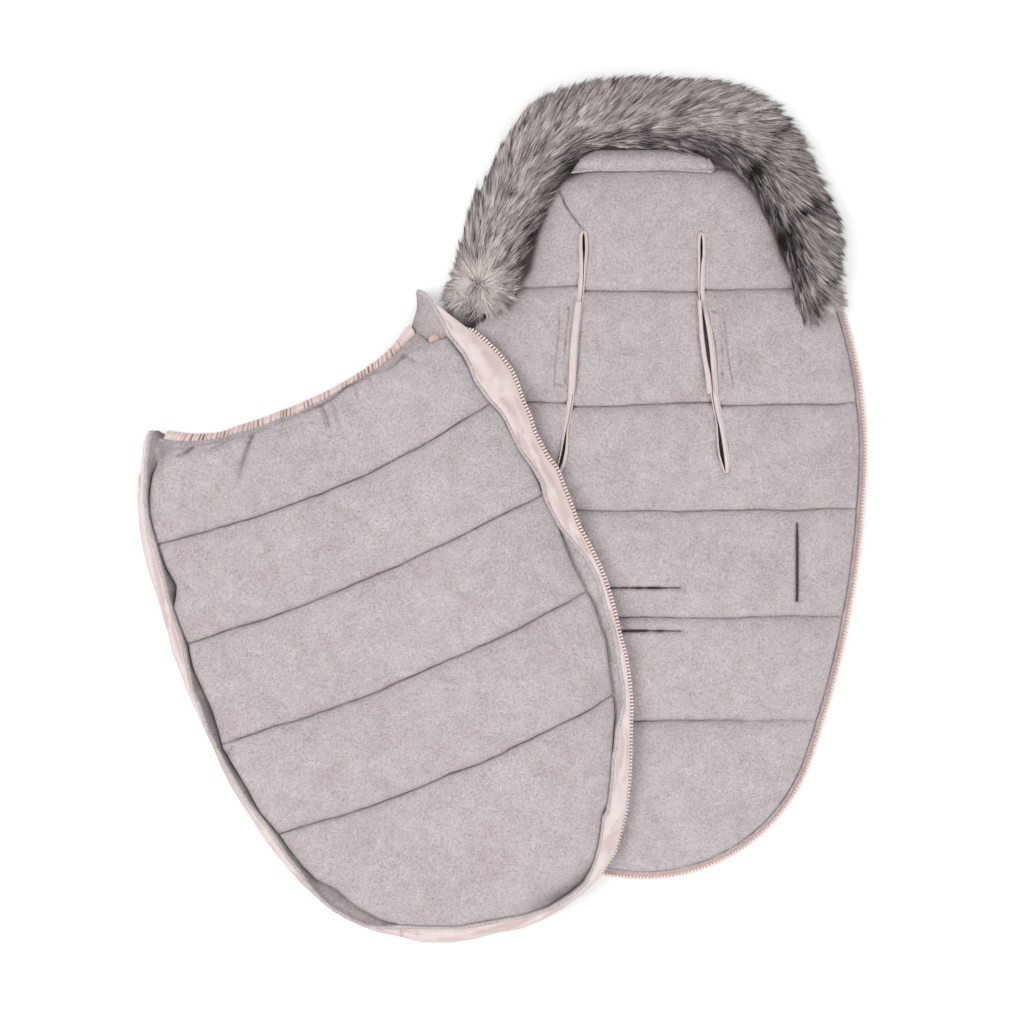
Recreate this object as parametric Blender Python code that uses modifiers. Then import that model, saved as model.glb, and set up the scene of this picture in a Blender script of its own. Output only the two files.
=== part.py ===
"""A quilted pushchair footmuff, opened out flat at its zip.

The back section lies on the floor with its lining up. The detached front cover lies beside it,
turned, with its right part on top of the back section. Lengths are in metres and +Z is up. The
origin is on the underside of the back section, on its centreline, between the two crotch slots,
and +Y runs along the centreline to the hood.
"""

import math

import bmesh
import bpy
from mathutils import Vector

MM = 0.001
GAP = 0.3 * MM

# Back section: its outer line, zip teeth included, is four tangent arcs a side.
BACK_SIDE_RADIUS = 0.552
BACK_SIDE_OFFSET = 0.283
BACK_SIDE_Y = 0.189
BACK_FOOT_RADIUS = 0.214
BACK_FOOT_Y = -0.112
BACK_HOOD_JOIN_DEG = 37.0
BACK_LOWER_JOIN_DEG = -2.0
BACK_SEAM_Y = (0.530, 0.382, 0.247, 0.119, -0.010, -0.134)
BACK_SEAM_SAG = 0.003
HOOD_CORNER_DEG = 62.0
FOOT_CORNER_DEG = -48.0

# Heights of the back section's layers
SHELL_THICK = 1.2 * MM
LINING_THICK = 2.5 * MM
WADDING_Z = 1.8 * MM
WADDING_GAP = 2.2 * MM
WADDING_INSET = 22 * MM
RIM_Z = 7.9 * MM
CROWN_Z = 24 * MM
SEAM_SHARE = 0.35
ROLL_OFF = 0.045
EDGE_INSET = 9 * MM
EDGE_LIFT = 2.6 * MM
EDGE_LIFT_RUN = 12 * MM

# Zip half of the back section, as distances in from the outer line and heights
TEETH_INSET = (0.0, 4.0 * MM)
TEETH_Z = (2.6 * MM, 6.6 * MM)
TAPE_INSET = (4.3 * MM, 16.5 * MM)
TAPE_Z = (4.1 * MM, 5.1 * MM)
ZIP_TOP_RIGHT_DEG = 21.5
ZIP_TOP_LEFT_DEG = 22.5
ZIP_STOP_LENGTH = 6 * MM

# Zip slider, parked at the right-hand end of the zip, and its pull tab
SLIDER_DEG = 19.9
SLIDER_LENGTH = 12 * MM
SLIDER_PLATE = 1.3 * MM
SLIDER_CLEAR = 0.7 * MM
SLIDER_REACH = 8.2 * MM
BRIDGE_SIZE = (2.4 * MM, 8.0 * MM, 3.4 * MM)
BRIDGE_WINDOW = (2.6 * MM, 1.9 * MM)
PULL_LENGTH = 26 * MM
PULL_WIDTH = 7 * MM
PULL_THICK = 1.2 * MM
PULL_BAR = 1.2 * MM

# Harness slots. A shoulder slot's points run down its middle.
SHOULDER_SLOT_RIGHT = ((0.0700, 0.454), (0.0720, 0.384), (0.0840, 0.276), (0.0985, 0.166))
SHOULDER_SLOT_LEFT = ((-0.0740, 0.454), (-0.0800, 0.384), (-0.0865, 0.276), (-0.1015, 0.166))
SHOULDER_SLOT_WIDTH = 10.6 * MM
PLAIN_SLOT_WIDTH = 6.0 * MM
CROTCH_SLOT_LENGTH = 0.092
CROTCH_SLOT_Y = (0.0265, -0.0255)
HIP_SLOT_X = 0.1825
HIP_SLOT_Y = (0.008, 0.104)
BINDING_WALL = 1.5 * MM
BINDING_FLANGE = 3.5 * MM
BINDING_RISE = 1.4 * MM
TAB_Y = (0.274, 0.371)
TAB_WIDTH = 9.0 * MM
TAB_THICK = 1.6 * MM
PATCH_SIZE = (16 * MM, 0.100, 0.9 * MM)
PATCH_OFFSET = 21 * MM

# Fur trim along the hood: middle, half width and height, from its left end over the top to the right
FUR_SPAN_DEG = 19.0
FUR_MIDDLE = (0.041, 0.018, -0.005, 0.008, -0.014, 0.000, 0.030)
FUR_HALF_WIDTH = (0.030, 0.032, 0.031, 0.036, 0.034, 0.028, 0.015)
FUR_TOP_Z = (0.038, 0.050, 0.054, 0.056, 0.054, 0.050, 0.038)
FUR_BACKING_THICK = 1.4 * MM
FUR_BACKING_EDGE = 2.0 * MM
FUR_BACKING_SHARE = 0.75
FUR_BACKING_LEAST = 8 * MM
LIP_RADIUS = 6.0 * MM
LIP_Y = 0.538
LIP_HALF_LENGTH = 0.093
LIP_DROP = 0.012

# Front cover, in its own frame: origin at the foot end, +Y along the cover to its top edge
COVER_TIP = (-0.156, -0.3816)
COVER_TURN_DEG = 22.8
COVER_SIDE_RADIUS = 1.0145
COVER_SIDE_OFFSET = 0.7794
COVER_SIDE_Y = 0.396
COVER_FOOT_RADIUS = 0.220
COVER_CORNER_DEG = -50.0
COVER_SEAMS = ((0.571, 0.591), (0.455, 0.465), (0.326, 0.338), (0.199, 0.213))
COVER_TOP = (0.703, 0.716)
COVER_RIM = 6.5 * MM
COVER_CROWN = 22 * MM
DRAPE_HEIGHT = 0.0275
DRAPE_OUT = 0.080
DRAPE_IN = 0.060

# Gusset round the cover, as a share of the way from its foot to the rim
GUSSET_HEIGHT = 0.034
GUSSET_LEAN_LEFT_DEG = 24.0
GUSSET_LEAN_RIGHT_DEG = 52.0
GUSSET_FOLD_DEG = 9.0
GUSSET_FOLDS = 7
GUSSET_OUT = 3.0 * MM
GUSSET_GAP = 1.4 * MM
PLUSH_THICK = 1.8 * MM
OUTER_THICK = 1.2 * MM
COVER_TAPE_WIDTH = 5.5 * MM
COVER_TAPE_THICK = 1.0 * MM
COVER_TEETH = 4.0 * MM

# Gathered casing of the cover's top edge, its elastic, and the press studs
CASING_HEIGHT = 12 * MM
CASING_THICK = 7 * MM
CASING_WALL = 1.2 * MM
ELASTIC_SIZE = (2.0 * MM, 8.0 * MM)
SNAP_RADIUS = 7.2 * MM
SNAP_PLACE = (0.182, 0.687)

STATIONS = tuple(math.sin(math.radians(18 * k)) for k in range(-5, 6))
CHANNEL_ROWS = (0.06, 0.22, 0.5, 0.78, 0.94)
END_ROWS = (0.05, 0.18, 0.36, 0.56, 0.75, 0.9)
SHELL_END_ROWS = (0.05, 0.2, 0.4, 0.6, 0.75, 0.87, 0.95)

PINK = (0.78, 0.66, 0.65)
PLUSH = (0.58, 0.51, 0.52)
ROSE_GOLD = (0.62, 0.33, 0.25)


def clamp(value, low=0.0, high=1.0):
    return max(low, min(high, value))


def roll(share):
    """A quarter circle: 0 at the edge, 1 and level from share 1 on."""
    return math.sqrt(1 - (1 - clamp(share)) ** 2)


def smooth(share):
    share = clamp(share)
    return share * share * (3 - 2 * share)


def between(values, share):
    """Values at even shares from 0 to 1, joined smoothly."""
    place = clamp(share) * (len(values) - 1)
    first = min(int(place), len(values) - 2)
    return values[first] + (values[first + 1] - values[first]) * smooth(place - first)


class Oval:
    """A shape symmetric about x = 0, its right side made of tangent arcs from top to foot.

    An arc is (centre x, centre y, radius, first angle, last angle), in radians from +X.
    """

    def __init__(self, arcs):
        self.arcs = arcs

    def point(self, degrees, inset=0.0):
        """The point where the right side's normal has this angle, moved in by inset."""
        angle = math.radians(degrees)
        for cx, cy, radius, first, last in self.arcs:
            if last - 1e-9 <= angle <= first + 1e-9:
                reach = radius - inset
                return cx + reach * math.cos(angle), cy + reach * math.sin(angle)
        raise ValueError("no arc has that angle")

    def half_width(self, y, inset=0.0):
        for cx, cy, radius, first, last in self.arcs:
            reach = radius - inset
            sine = (y - cy) / reach
            if abs(sine) <= 1:
                angle = math.asin(sine)
                if last - 1e-6 <= angle <= first + 1e-6:
                    return cx + reach * math.cos(angle)
        raise ValueError("no arc reaches that height")

    def angle_at(self, y, inset=0.0):
        for cx, cy, radius, first, last in self.arcs:
            sine = (y - cy) / (radius - inset)
            if abs(sine) <= 1 and last - 1e-6 <= math.asin(sine) <= first + 1e-6:
                return math.degrees(math.asin(sine))
        raise ValueError("no arc reaches that height")

    def depth(self, x, y):
        """How far a point is inside the outline, or, below 0, outside it."""
        found = []
        for cx, cy, radius, first, last in self.arcs:
            angle = math.atan2(y - cy, abs(x) - cx)
            if last - 1e-6 <= angle <= first + 1e-6:
                found.append(radius - math.hypot(abs(x) - cx, y - cy))
        return min(found) if found else ROLL_OFF * 4


def back_oval():
    """The hood and lower side arcs follow from the side and foot arcs, which they join."""
    side = (-BACK_SIDE_OFFSET, BACK_SIDE_Y)
    hood_join = math.radians(BACK_HOOD_JOIN_DEG)
    hood_radius = BACK_SIDE_RADIUS - BACK_SIDE_OFFSET / math.cos(hood_join)
    hood_y = BACK_SIDE_Y + (BACK_SIDE_RADIUS - hood_radius) * math.sin(hood_join)
    low_join = math.radians(BACK_LOWER_JOIN_DEG)
    across = BACK_SIDE_OFFSET
    down = BACK_FOOT_Y - BACK_SIDE_Y
    less = BACK_SIDE_RADIUS - BACK_FOOT_RADIUS
    grown = (across**2 + down**2 - less**2) / (
        2 * (less - across * math.cos(low_join) - down * math.sin(low_join))
    )
    lower_radius = BACK_SIDE_RADIUS + grown
    lower = (side[0] - grown * math.cos(low_join), side[1] - grown * math.sin(low_join))
    foot_join = math.atan2(BACK_FOOT_Y - lower[1], -lower[0])
    return Oval(
        (
            (0.0, hood_y, hood_radius, math.pi / 2, hood_join),
            (*side, BACK_SIDE_RADIUS, hood_join, low_join),
            (*lower, lower_radius, low_join, foot_join),
            (0.0, BACK_FOOT_Y, BACK_FOOT_RADIUS, foot_join, -math.pi / 2),
        )
    )


def cover_oval():
    """The panel's edge. Its foot arc touches the side arcs."""
    less = COVER_SIDE_RADIUS - COVER_FOOT_RADIUS
    join = -math.acos(COVER_SIDE_OFFSET / less)
    foot_y = COVER_SIDE_Y + less * math.sin(join)
    return Oval(
        (
            (-COVER_SIDE_OFFSET, COVER_SIDE_Y, COVER_SIDE_RADIUS, math.pi / 4, join),
            (0.0, foot_y, COVER_FOOT_RADIUS, join, -math.pi / 2),
        )
    )


BACK = back_oval()
COVER = cover_oval()


def back_seam_shape(x, y):
    """1 on a channel's crown, down to SEAM_SHARE in its seams."""
    sag = BACK_SEAM_SAG * (x / 0.26) ** 2
    nearest = min(abs(y - seam - sag) for seam in BACK_SEAM_Y)
    return SEAM_SHARE + (1 - SEAM_SHARE) * roll(nearest / ROLL_OFF)


def back_top(x, y):
    """Height of the back section's lining."""
    edge = roll((BACK.depth(x, y) - EDGE_INSET) / ROLL_OFF)
    return RIM_Z + (CROWN_Z - RIM_Z) * edge * back_seam_shape(x, y)


def back_under(x, y):
    """Height of the back section's underside, which lifts a little along its edge."""
    share = 1 - clamp((BACK.depth(x, y) - EDGE_INSET) / EDGE_LIFT_RUN)
    return EDGE_LIFT * share * share


def cover_to_world(x, y):
    turn = math.radians(COVER_TURN_DEG)
    cos, sin = math.cos(turn), math.sin(turn)
    return COVER_TIP[0] + x * cos - y * sin, COVER_TIP[1] + x * sin + y * cos


def drape(x, y):
    """Height of the cover's underside, on the floor or up on the back section."""
    depth = BACK.depth(*cover_to_world(x, y))
    return DRAPE_HEIGHT * smooth((depth + DRAPE_OUT) / (DRAPE_OUT + DRAPE_IN))


def cover_top_line(x):
    """Where the top edge of the cover's panel runs."""
    middle, side = COVER_TOP
    return middle + (side - middle) * (x / 0.183) ** 2


def cover_top(x, y):
    """Height of the cover's lining."""
    nearest = min(
        abs(y - middle - (side - middle) * (x / 0.217) ** 2) for middle, side in COVER_SEAMS
    )
    shape = SEAM_SHARE + (1 - SEAM_SHARE) * roll(nearest / ROLL_OFF)
    edge = roll(COVER.depth(x, y) / ROLL_OFF) * roll((cover_top_line(x) - y) / ROLL_OFF)
    return drape(x, y) + COVER_RIM + (COVER_CROWN - COVER_RIM) * edge * shape


def row_across(middle_y, side_x, side_y, stations):
    """Points of a row from left to right, on the arc through its middle and both ends."""
    rise = side_y - middle_y
    if abs(rise) < 1e-6:
        return [(side_x * s, side_y) for s in stations]
    half = 2 * math.atan(rise / side_x)
    radius = side_x / math.sin(half)
    return [
        (radius * math.sin(half * s), middle_y + radius * (1 - math.cos(half * s)))
        for s in stations
    ]


def material(name, colour, roughness=0.9, metallic=0.0):
    made = bpy.data.materials.get(name)
    if made is None:
        made = bpy.data.materials.new(name)
        made.use_nodes = True
        shader = made.node_tree.nodes["Principled BSDF"]
        shader.inputs["Base Color"].default_value = (*colour, 1)
        shader.inputs["Roughness"].default_value = roughness
        shader.inputs["Metallic"].default_value = metallic
    return made


def add_object(name, bm, look, collection, parent=None, smooth_faces=True):
    """A mesh object from a bmesh, which is freed."""
    bmesh.ops.recalc_face_normals(bm, faces=bm.faces)
    mesh = bpy.data.meshes.new(name)
    bm.to_mesh(mesh)
    bm.free()
    mesh.materials.append(look)
    if smooth_faces:
        mesh.shade_smooth()
        mesh.set_sharp_from_angle(angle=math.radians(50))
    made = bpy.data.objects.new(name, mesh)
    collection.objects.link(made)
    if parent is not None:
        made.parent = parent
    return made


def sheet(rows, low, high, flat_bottom=False):
    """A closed body over a grid of points, between the heights low(x, y) and high(x, y)."""
    bm = bmesh.new()
    across, along = len(rows[0]), len(rows)
    bmesh.ops.create_grid(bm, x_segments=across - 1, y_segments=along - 1, size=1)
    bm.verts.ensure_lookup_table()
    for vert in bm.verts:
        column = round((vert.co.x + 1) / 2 * (across - 1))
        row = round((vert.co.y + 1) / 2 * (along - 1))
        x, y = rows[row][column]
        vert.co = (x, y, low(x, y))
    below = bm.faces[:]
    raised = bmesh.ops.extrude_face_region(bm, geom=below)["geom"]
    for item in raised:
        if isinstance(item, bmesh.types.BMVert):
            item.co.z = high(item.co.x, item.co.y)
    if flat_bottom:
        bmesh.ops.recalc_face_normals(bm, faces=bm.faces)
        flat = [f for f in bm.faces if all(abs(v.co.z - WADDING_Z) < 1e-7 for v in f.verts)]
        bmesh.ops.dissolve_faces(bm, faces=flat, use_verts=False)
    return bm


def loft(sections, closed=False):
    """A skin over sections of equally many points, closed into a ring or capped at its ends."""
    bm = bmesh.new()
    rings = [[bm.verts.new(point) for point in section] for section in sections]
    pairs = list(zip(rings, rings[1:]))
    if closed:
        pairs.append((rings[-1], rings[0]))
    size = len(rings[0])
    for first, second in pairs:
        for k in range(size):
            after = (k + 1) % size
            bm.faces.new((first[k], first[after], second[after], second[k]))
    if not closed:
        bm.faces.new(rings[0])
        bm.faces.new(rings[-1])
    return bm


def box(size, centre=(0, 0, 0)):
    bm = bmesh.new()
    bmesh.ops.create_cube(bm, size=1)
    bmesh.ops.scale(bm, vec=size, verts=bm.verts)
    bmesh.ops.translate(bm, vec=centre, verts=bm.verts)
    return bm


def back_rows(inset, shares, end_shares, hood_shares):
    """Rows of the back section from the hood down, grouped by channel, seams between them."""
    top_y = BACK.point(90, inset)[1]
    foot_y = BACK.point(-90, inset)[1]
    seams = []
    for y in BACK_SEAM_Y:
        side_y = y + BACK_SEAM_SAG
        seams.append((y, BACK.half_width(side_y, inset), side_y))
    corner = BACK.point(HOOD_CORNER_DEG, inset)
    channels = []
    start = BACK.angle_at(seams[0][2], inset)
    cap = [(top_y, *corner)]
    for share in hood_shares:
        side = BACK.point(HOOD_CORNER_DEG + (start - HOOD_CORNER_DEG) * share, inset)
        cap.append((top_y + (seams[0][0] - top_y) * share, *side))
    channels.append(cap)
    for upper, lower in zip(seams, seams[1:]):
        rows = []
        for share in shares:
            side_y = upper[2] + (lower[2] - upper[2]) * share
            rows.append(
                (
                    upper[0] + (lower[0] - upper[0]) * share,
                    BACK.half_width(side_y, inset),
                    side_y,
                )
            )
        channels.append(rows)
    start = BACK.angle_at(seams[-1][2], inset)
    foot = []
    for share in (*end_shares, 1.0):
        side = BACK.point(start + (FOOT_CORNER_DEG - start) * share, inset)
        foot.append((seams[-1][0] + (foot_y - seams[-1][0]) * share, *side))
    channels.append(foot)
    return channels, seams


def cover_rows(inset, shares, end_shares):
    """Rows of the cover's panel from its top edge down, grouped by channel."""
    seams = []
    for middle, side_y in ((COVER_TOP[0] - inset, COVER_TOP[1] - inset), *COVER_SEAMS):
        seams.append((middle, COVER.half_width(side_y, inset), side_y))
    channels = []
    for upper, lower in zip(seams, seams[1:]):
        rows = []
        for share in shares:
            side_y = upper[2] + (lower[2] - upper[2]) * share
            rows.append(
                (
                    upper[0] + (lower[0] - upper[0]) * share,
                    COVER.half_width(side_y, inset),
                    side_y,
                )
            )
        channels.append(rows)
    start = COVER.angle_at(seams[-1][2], inset)
    foot_y = COVER.point(-90, inset)[1]
    foot = []
    for share in (*end_shares, 1.0):
        side = COVER.point(start + (COVER_CORNER_DEG - start) * share, inset)
        foot.append((seams[-1][0] + (foot_y - seams[-1][0]) * share, *side))
    channels.append(foot)
    return channels, seams


def spread(rows, stations=STATIONS):
    return [row_across(*row, stations) for row in rows]


def row_span(row, first, last, count):
    """Points of a row from x = first to x = last."""
    middle_y, side_x, side_y = row
    points = []
    for k in range(count + 1):
        x = first + (last - first) * k / count
        points.append((x, middle_y + (side_y - middle_y) * (x / side_x) ** 2))
    return points


def between_slots(rows):
    """The rows of the channel that both shoulder slots cross whole, in three spans."""
    half = SHOULDER_SLOT_WIDTH / 2 + 1.0 * MM
    spans = {"left": [], "middle": [], "right": []}
    for row in rows:
        end = row[1]
        left = slot_point(SHOULDER_SLOT_LEFT, row[0])
        right = slot_point(SHOULDER_SLOT_RIGHT, row[0])
        spans["left"].append(row_span(row, -end, left - half, 4))
        spans["middle"].append(row_span(row, left + half, right - half, 5))
        spans["right"].append(row_span(row, right + half, end, 4))
    return spans


def in_order(channels, seams):
    """All rows of a panel, its seams in their places."""
    rows = list(channels[0])
    for seam, channel in zip(seams, channels[1:]):
        rows.append(seam)
        rows.extend(channel)
    return rows


def slot_cutter(name, outline, cutters):
    """A prism through the whole back section."""
    bm = loft([[(x, y, -0.01) for x, y in outline], [(x, y, 0.05) for x, y in outline]])
    made = add_object(name, bm, material("cutter", (0.5, 0.5, 0.5)), cutters)
    made.hide_render = True
    made.display_type = "WIRE"
    return made


def cut(target, *tools):
    for tool in tools:
        modifier = target.modifiers.new(tool.name, "BOOLEAN")
        modifier.operation = "DIFFERENCE"
        modifier.solver = "EXACT"
        modifier.object = tool


def back_section(parts, cutters):
    slots = {
        "cut_shoulder_right": slot_ring(SHOULDER_SLOT_RIGHT, SHOULDER_SLOT_WIDTH / 2),
        "cut_shoulder_left": slot_ring(SHOULDER_SLOT_LEFT, SHOULDER_SLOT_WIDTH / 2),
    }
    length, width = CROTCH_SLOT_LENGTH / 2, PLAIN_SLOT_WIDTH / 2
    for name, y in zip(("cut_crotch_upper", "cut_crotch_lower"), CROTCH_SLOT_Y):
        slots[name] = oblong((0, y), (length, width))
    hip_y = sum(HIP_SLOT_Y) / 2
    length = (HIP_SLOT_Y[1] - HIP_SLOT_Y[0]) / 2
    for name, x in (("cut_hip_right", HIP_SLOT_X), ("cut_hip_left", -HIP_SLOT_X)):
        slots[name] = oblong((x, hip_y), (width, length))
    tools = {name: slot_cutter(name, outline, cutters) for name, outline in slots.items()}
    shoulders = (tools["cut_shoulder_right"], tools["cut_shoulder_left"])
    crotch = (tools["cut_crotch_upper"], tools["cut_crotch_lower"])
    hips = (tools["cut_hip_right"], tools["cut_hip_left"])

    channels, seams = back_rows(EDGE_INSET, (0.33, 0.67), SHELL_END_ROWS, (0.08, 0.25, 0.6))
    shell = sheet(
        spread(in_order(channels, seams)),
        back_under,
        lambda x, y: back_under(x, y) + SHELL_THICK,
    )
    made = add_object("back_outer_shell", shell, material("back_fabric", PINK, 0.8), parts)
    cut(made, *tools.values())

    channels, seams = back_rows(EDGE_INSET, CHANNEL_ROWS, END_ROWS, (0.12, 0.3, 0.55, 0.85))
    lining = sheet(
        spread(in_order(channels, seams)),
        lambda x, y: back_top(x, y) - LINING_THICK,
        back_top,
    )
    made = add_object("back_lining", lining, material("back_plush", PLUSH, 1.0), parts)
    cut(made, *tools.values())

    names = ("brim", "hood", "shoulders", "chest", "seat", "legs", "foot")
    holes = {
        "hood": shoulders,
        "chest": shoulders,
        "seat": (crotch[0], *hips),
        "legs": (crotch[1],),
        "shoulders_right": [patch_pocket("pocket_right", SHOULDER_SLOT_RIGHT, 1, cutters)],
        "shoulders_left": [patch_pocket("pocket_left", SHOULDER_SLOT_LEFT, -1, cutters)],
    }
    channels, seams = back_rows(WADDING_INSET, CHANNEL_ROWS, END_ROWS, (0.2, 0.5, 0.85))
    grids = {}
    for name, rows in zip(names, channels):
        if name == "shoulders":
            for side, points in between_slots(rows).items():
                grids[f"shoulders_{side}"] = points
        else:
            grids[name] = spread(rows)
    for name, points in grids.items():
        wadding = sheet(
            points,
            lambda x, y: WADDING_Z,
            lambda x, y: back_top(x, y) - LINING_THICK - WADDING_GAP,
            flat_bottom=True,
        )
        made = add_object(
            f"back_wadding_{name}", wadding, material("wadding", (0.85, 0.85, 0.85), 1.0), parts
        )
        cut(made, *holes.get(name, ()))


def slot_point(points, y):
    """The middle of a slot at this height."""
    for (x0, y0), (x1, y1) in zip(points, points[1:]):
        if y1 <= y <= y0:
            return x0 + (x1 - x0) * (y - y0) / (y1 - y0)
    raise ValueError("the slot doesn't reach that height")


def patch_outline(points, side, grow):
    """Corners of a loop patch beside a slot, on its outer side."""
    width, length, _ = PATCH_SIZE
    low, high = (sum(TAB_Y) - length) / 2 - grow, (sum(TAB_Y) + length) / 2 + grow
    reach = width / 2 + grow
    corners = []
    for y, out in ((low, -reach), (low, reach), (high, reach), (high, -reach)):
        corners.append((slot_point(points, y) + side * PATCH_OFFSET + out, y))
    return corners


def patch_body(points, side, grow, low, high):
    outline = patch_outline(points, side, grow)
    return loft([[(x, y, low) for x, y in outline], [(x, y, high) for x, y in outline]])


def patch_pocket(name, points, side, cutters):
    """The room in the wadding for a loop patch."""
    top = WADDING_Z + PATCH_SIZE[2] + GAP
    bm = patch_body(points, side, 0.5 * MM, -0.001, top)
    made = add_object(name, bm, material("cutter", (0.5, 0.5, 0.5)), cutters)
    made.hide_render = True
    made.display_type = "WIRE"
    return made


def oblong(centre, halves):
    """Corners of a rectangle, given by its centre and half sizes."""
    x, y = centre
    half_x, half_y = halves
    return [
        (x - half_x, y - half_y),
        (x + half_x, y - half_y),
        (x + half_x, y + half_y),
        (x - half_x, y + half_y),
    ]


def slot_ring(points, grow, count=12):
    """Points round a slot, grow away from its middle line, with round ends."""
    line = []
    for k in range(count):
        share = k / (count - 1)
        y = points[0][1] + (points[-1][1] - points[0][1]) * share
        line.append(Vector((slot_point(points, clamp(y, points[-1][1], points[0][1])), y)))
    sides = []
    for k, point in enumerate(line):
        along = (line[min(k + 1, count - 1)] - line[max(k - 1, 0)]).normalized()
        sides.append((point, along, Vector((along.y, -along.x))))
    ring = [point - side * grow for point, _, side in sides]
    ring.append(line[-1] + sides[-1][1] * grow)
    ring.extend(point + side * grow for point, _, side in reversed(sides))
    ring.append(line[0] - sides[0][1] * grow)
    return ring


def bindings(parts):
    """Bias binding round each shoulder slot, and the slot's closing tab and loop patch."""
    half = SHOULDER_SLOT_WIDTH / 2
    wall = (half - GAP - BINDING_WALL, half - GAP, half + BINDING_FLANGE - BINDING_WALL)
    pink = material("binding", PINK, 0.8)
    for side, name, points in (
        (1, "right", SHOULDER_SLOT_RIGHT),
        (-1, "left", SHOULDER_SLOT_LEFT),
    ):
        inner = slot_ring(points, wall[0])
        middle = slot_ring(points, wall[1])
        outer = slot_ring(points, wall[2])
        sections = []
        for a, b, c in zip(inner, middle, outer):
            top = above_back(c.x, c.y, 12 * MM) + GAP
            sections.append(
                [
                    (a.x, a.y, GAP),
                    (b.x, b.y, GAP),
                    (b.x, b.y, top),
                    (c.x, c.y, top),
                    (c.x, c.y, top + BINDING_RISE),
                    (a.x, a.y, top + BINDING_RISE),
                ]
            )
        ring = loft(sections, closed=True)
        add_object(f"slot_binding_{name}", ring, pink, parts)

        low = SHELL_THICK + GAP
        patch = patch_body(points, side, 0.0, low, low + PATCH_SIZE[2])
        add_object(f"loop_patch_{name}", patch, material("hook_and_loop", PLUSH, 0.9), parts)
    return pink


def closing_tabs(parts, pink):
    """The right tab lies open on the slot's inner lip, and turns up about its sewn edge."""
    half = SHOULDER_SLOT_WIDTH / 2
    free = -(half - GAP - BINDING_WALL)
    heights = [
        back_top(slot_point(SHOULDER_SLOT_RIGHT, y) - half - BINDING_FLANGE, y)
        for y in (TAB_Y[0], sum(TAB_Y) / 2, TAB_Y[1])
    ]
    low = max(heights) + BINDING_RISE + 4 * GAP
    ends = []
    for y in TAB_Y:
        ends.append(Vector((slot_point(SHOULDER_SLOT_RIGHT, y) + free - TAB_WIDTH, y, low)))
    turn = math.atan2(-(ends[1].x - ends[0].x), ends[1].y - ends[0].y)
    length = (ends[1] - ends[0]).length
    tab = box(
        (TAB_WIDTH, length, TAB_THICK), (TAB_WIDTH / 2, length / 2, TAB_THICK / 2)
    )
    made = add_object("closing_tab_right", tab, pink, parts, smooth_faces=False)
    bevel = made.modifiers.new("soft_edges", "BEVEL")
    bevel.width = 0.5 * MM
    bevel.segments = 2
    made.location = ends[0]
    made.rotation_euler = (0, 0, turn)

    reach = half - GAP - BINDING_WALL - 2 * GAP
    low = CROWN_Z / 2
    sections = []
    for y in (TAB_Y[0], sum(TAB_Y) / 2, TAB_Y[1]):
        x = slot_point(SHOULDER_SLOT_LEFT, y)
        sections.append(
            [
                (x - reach, y, low),
                (x + reach, y, low),
                (x + reach, y, low + TAB_THICK),
                (x - reach, y, low + TAB_THICK),
            ]
        )
    add_object("closing_tab_left", loft(sections), pink, parts)
    return low


def back_band(degrees, insets, heights):
    """A band round the back section's edge, a rectangle in section."""
    sections = []
    for angle in degrees:
        section = []
        for inset, z in (
            (insets[0], heights[0]),
            (insets[1], heights[0]),
            (insets[1], heights[1]),
            (insets[0], heights[1]),
        ):
            if angle >= -90:
                x, y = BACK.point(angle, inset)
            else:
                x, y = BACK.point(-180 - angle, inset)
                x = -x
            section.append((x, y, z))
        sections.append(section)
    return sections


def zip_angles(first, last):
    """Angles round the foot, from the right side down and up the left, at even chords."""
    steps = []
    for low, high, step in ((-18.6, first, 2.6), (-90.0, -18.6, 6.5)):
        count = max(1, math.ceil((high - low) / step))
        steps.extend(high + (low - high) * k / count for k in range(count))
    right = [*steps, -90.0]
    left = []
    for low, high, step in ((-90.0, -18.6, 6.5), (-18.6, last, 2.6)):
        count = max(1, math.ceil((high - low) / step))
        left.extend(low + (high - low) * k / count for k in range(1, count + 1))
    return right + [-180 - angle for angle in left]


def back_zip(parts):
    """Tape and teeth from the right end of the hood round the foot to the left end."""
    tape_look = material("zip_tape", ROSE_GOLD, 0.8)
    metal = material("rose_gold_metal", ROSE_GOLD, 0.3, 0.9)
    tape = zip_angles(ZIP_TOP_RIGHT_DEG, ZIP_TOP_LEFT_DEG)
    add_object("back_zip_tape", loft(back_band(tape, TAPE_INSET, TAPE_Z)), tape_look, parts)
    stop_deg = math.degrees(ZIP_STOP_LENGTH / BACK_SIDE_RADIUS)
    gap_deg = math.degrees(2 * GAP / BACK_SIDE_RADIUS)
    teeth = zip_angles(
        ZIP_TOP_RIGHT_DEG - stop_deg - gap_deg, ZIP_TOP_LEFT_DEG - stop_deg - gap_deg
    )
    add_object("back_zip_teeth", loft(back_band(teeth, TEETH_INSET, TEETH_Z)), metal, parts)
    right = (ZIP_TOP_RIGHT_DEG, ZIP_TOP_RIGHT_DEG - stop_deg)
    left = (-180 - ZIP_TOP_LEFT_DEG, -180 - ZIP_TOP_LEFT_DEG + stop_deg)
    for name, ends in (("back_zip_box", right), ("back_zip_stop", left)):
        add_object(name, loft(back_band(ends, TEETH_INSET, TEETH_Z)), metal, parts)
    return metal


def union(target, tool):
    modifier = target.modifiers.new(tool.name, "BOOLEAN")
    modifier.operation = "UNION"
    modifier.solver = "EXACT"
    modifier.object = tool


def helper(name, bm, cutters, parent):
    made = add_object(
        name, bm, material("cutter", (0.5, 0.5, 0.5)), cutters, parent, smooth_faces=False
    )
    made.hide_render = True
    made.display_type = "WIRE"
    return made


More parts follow.
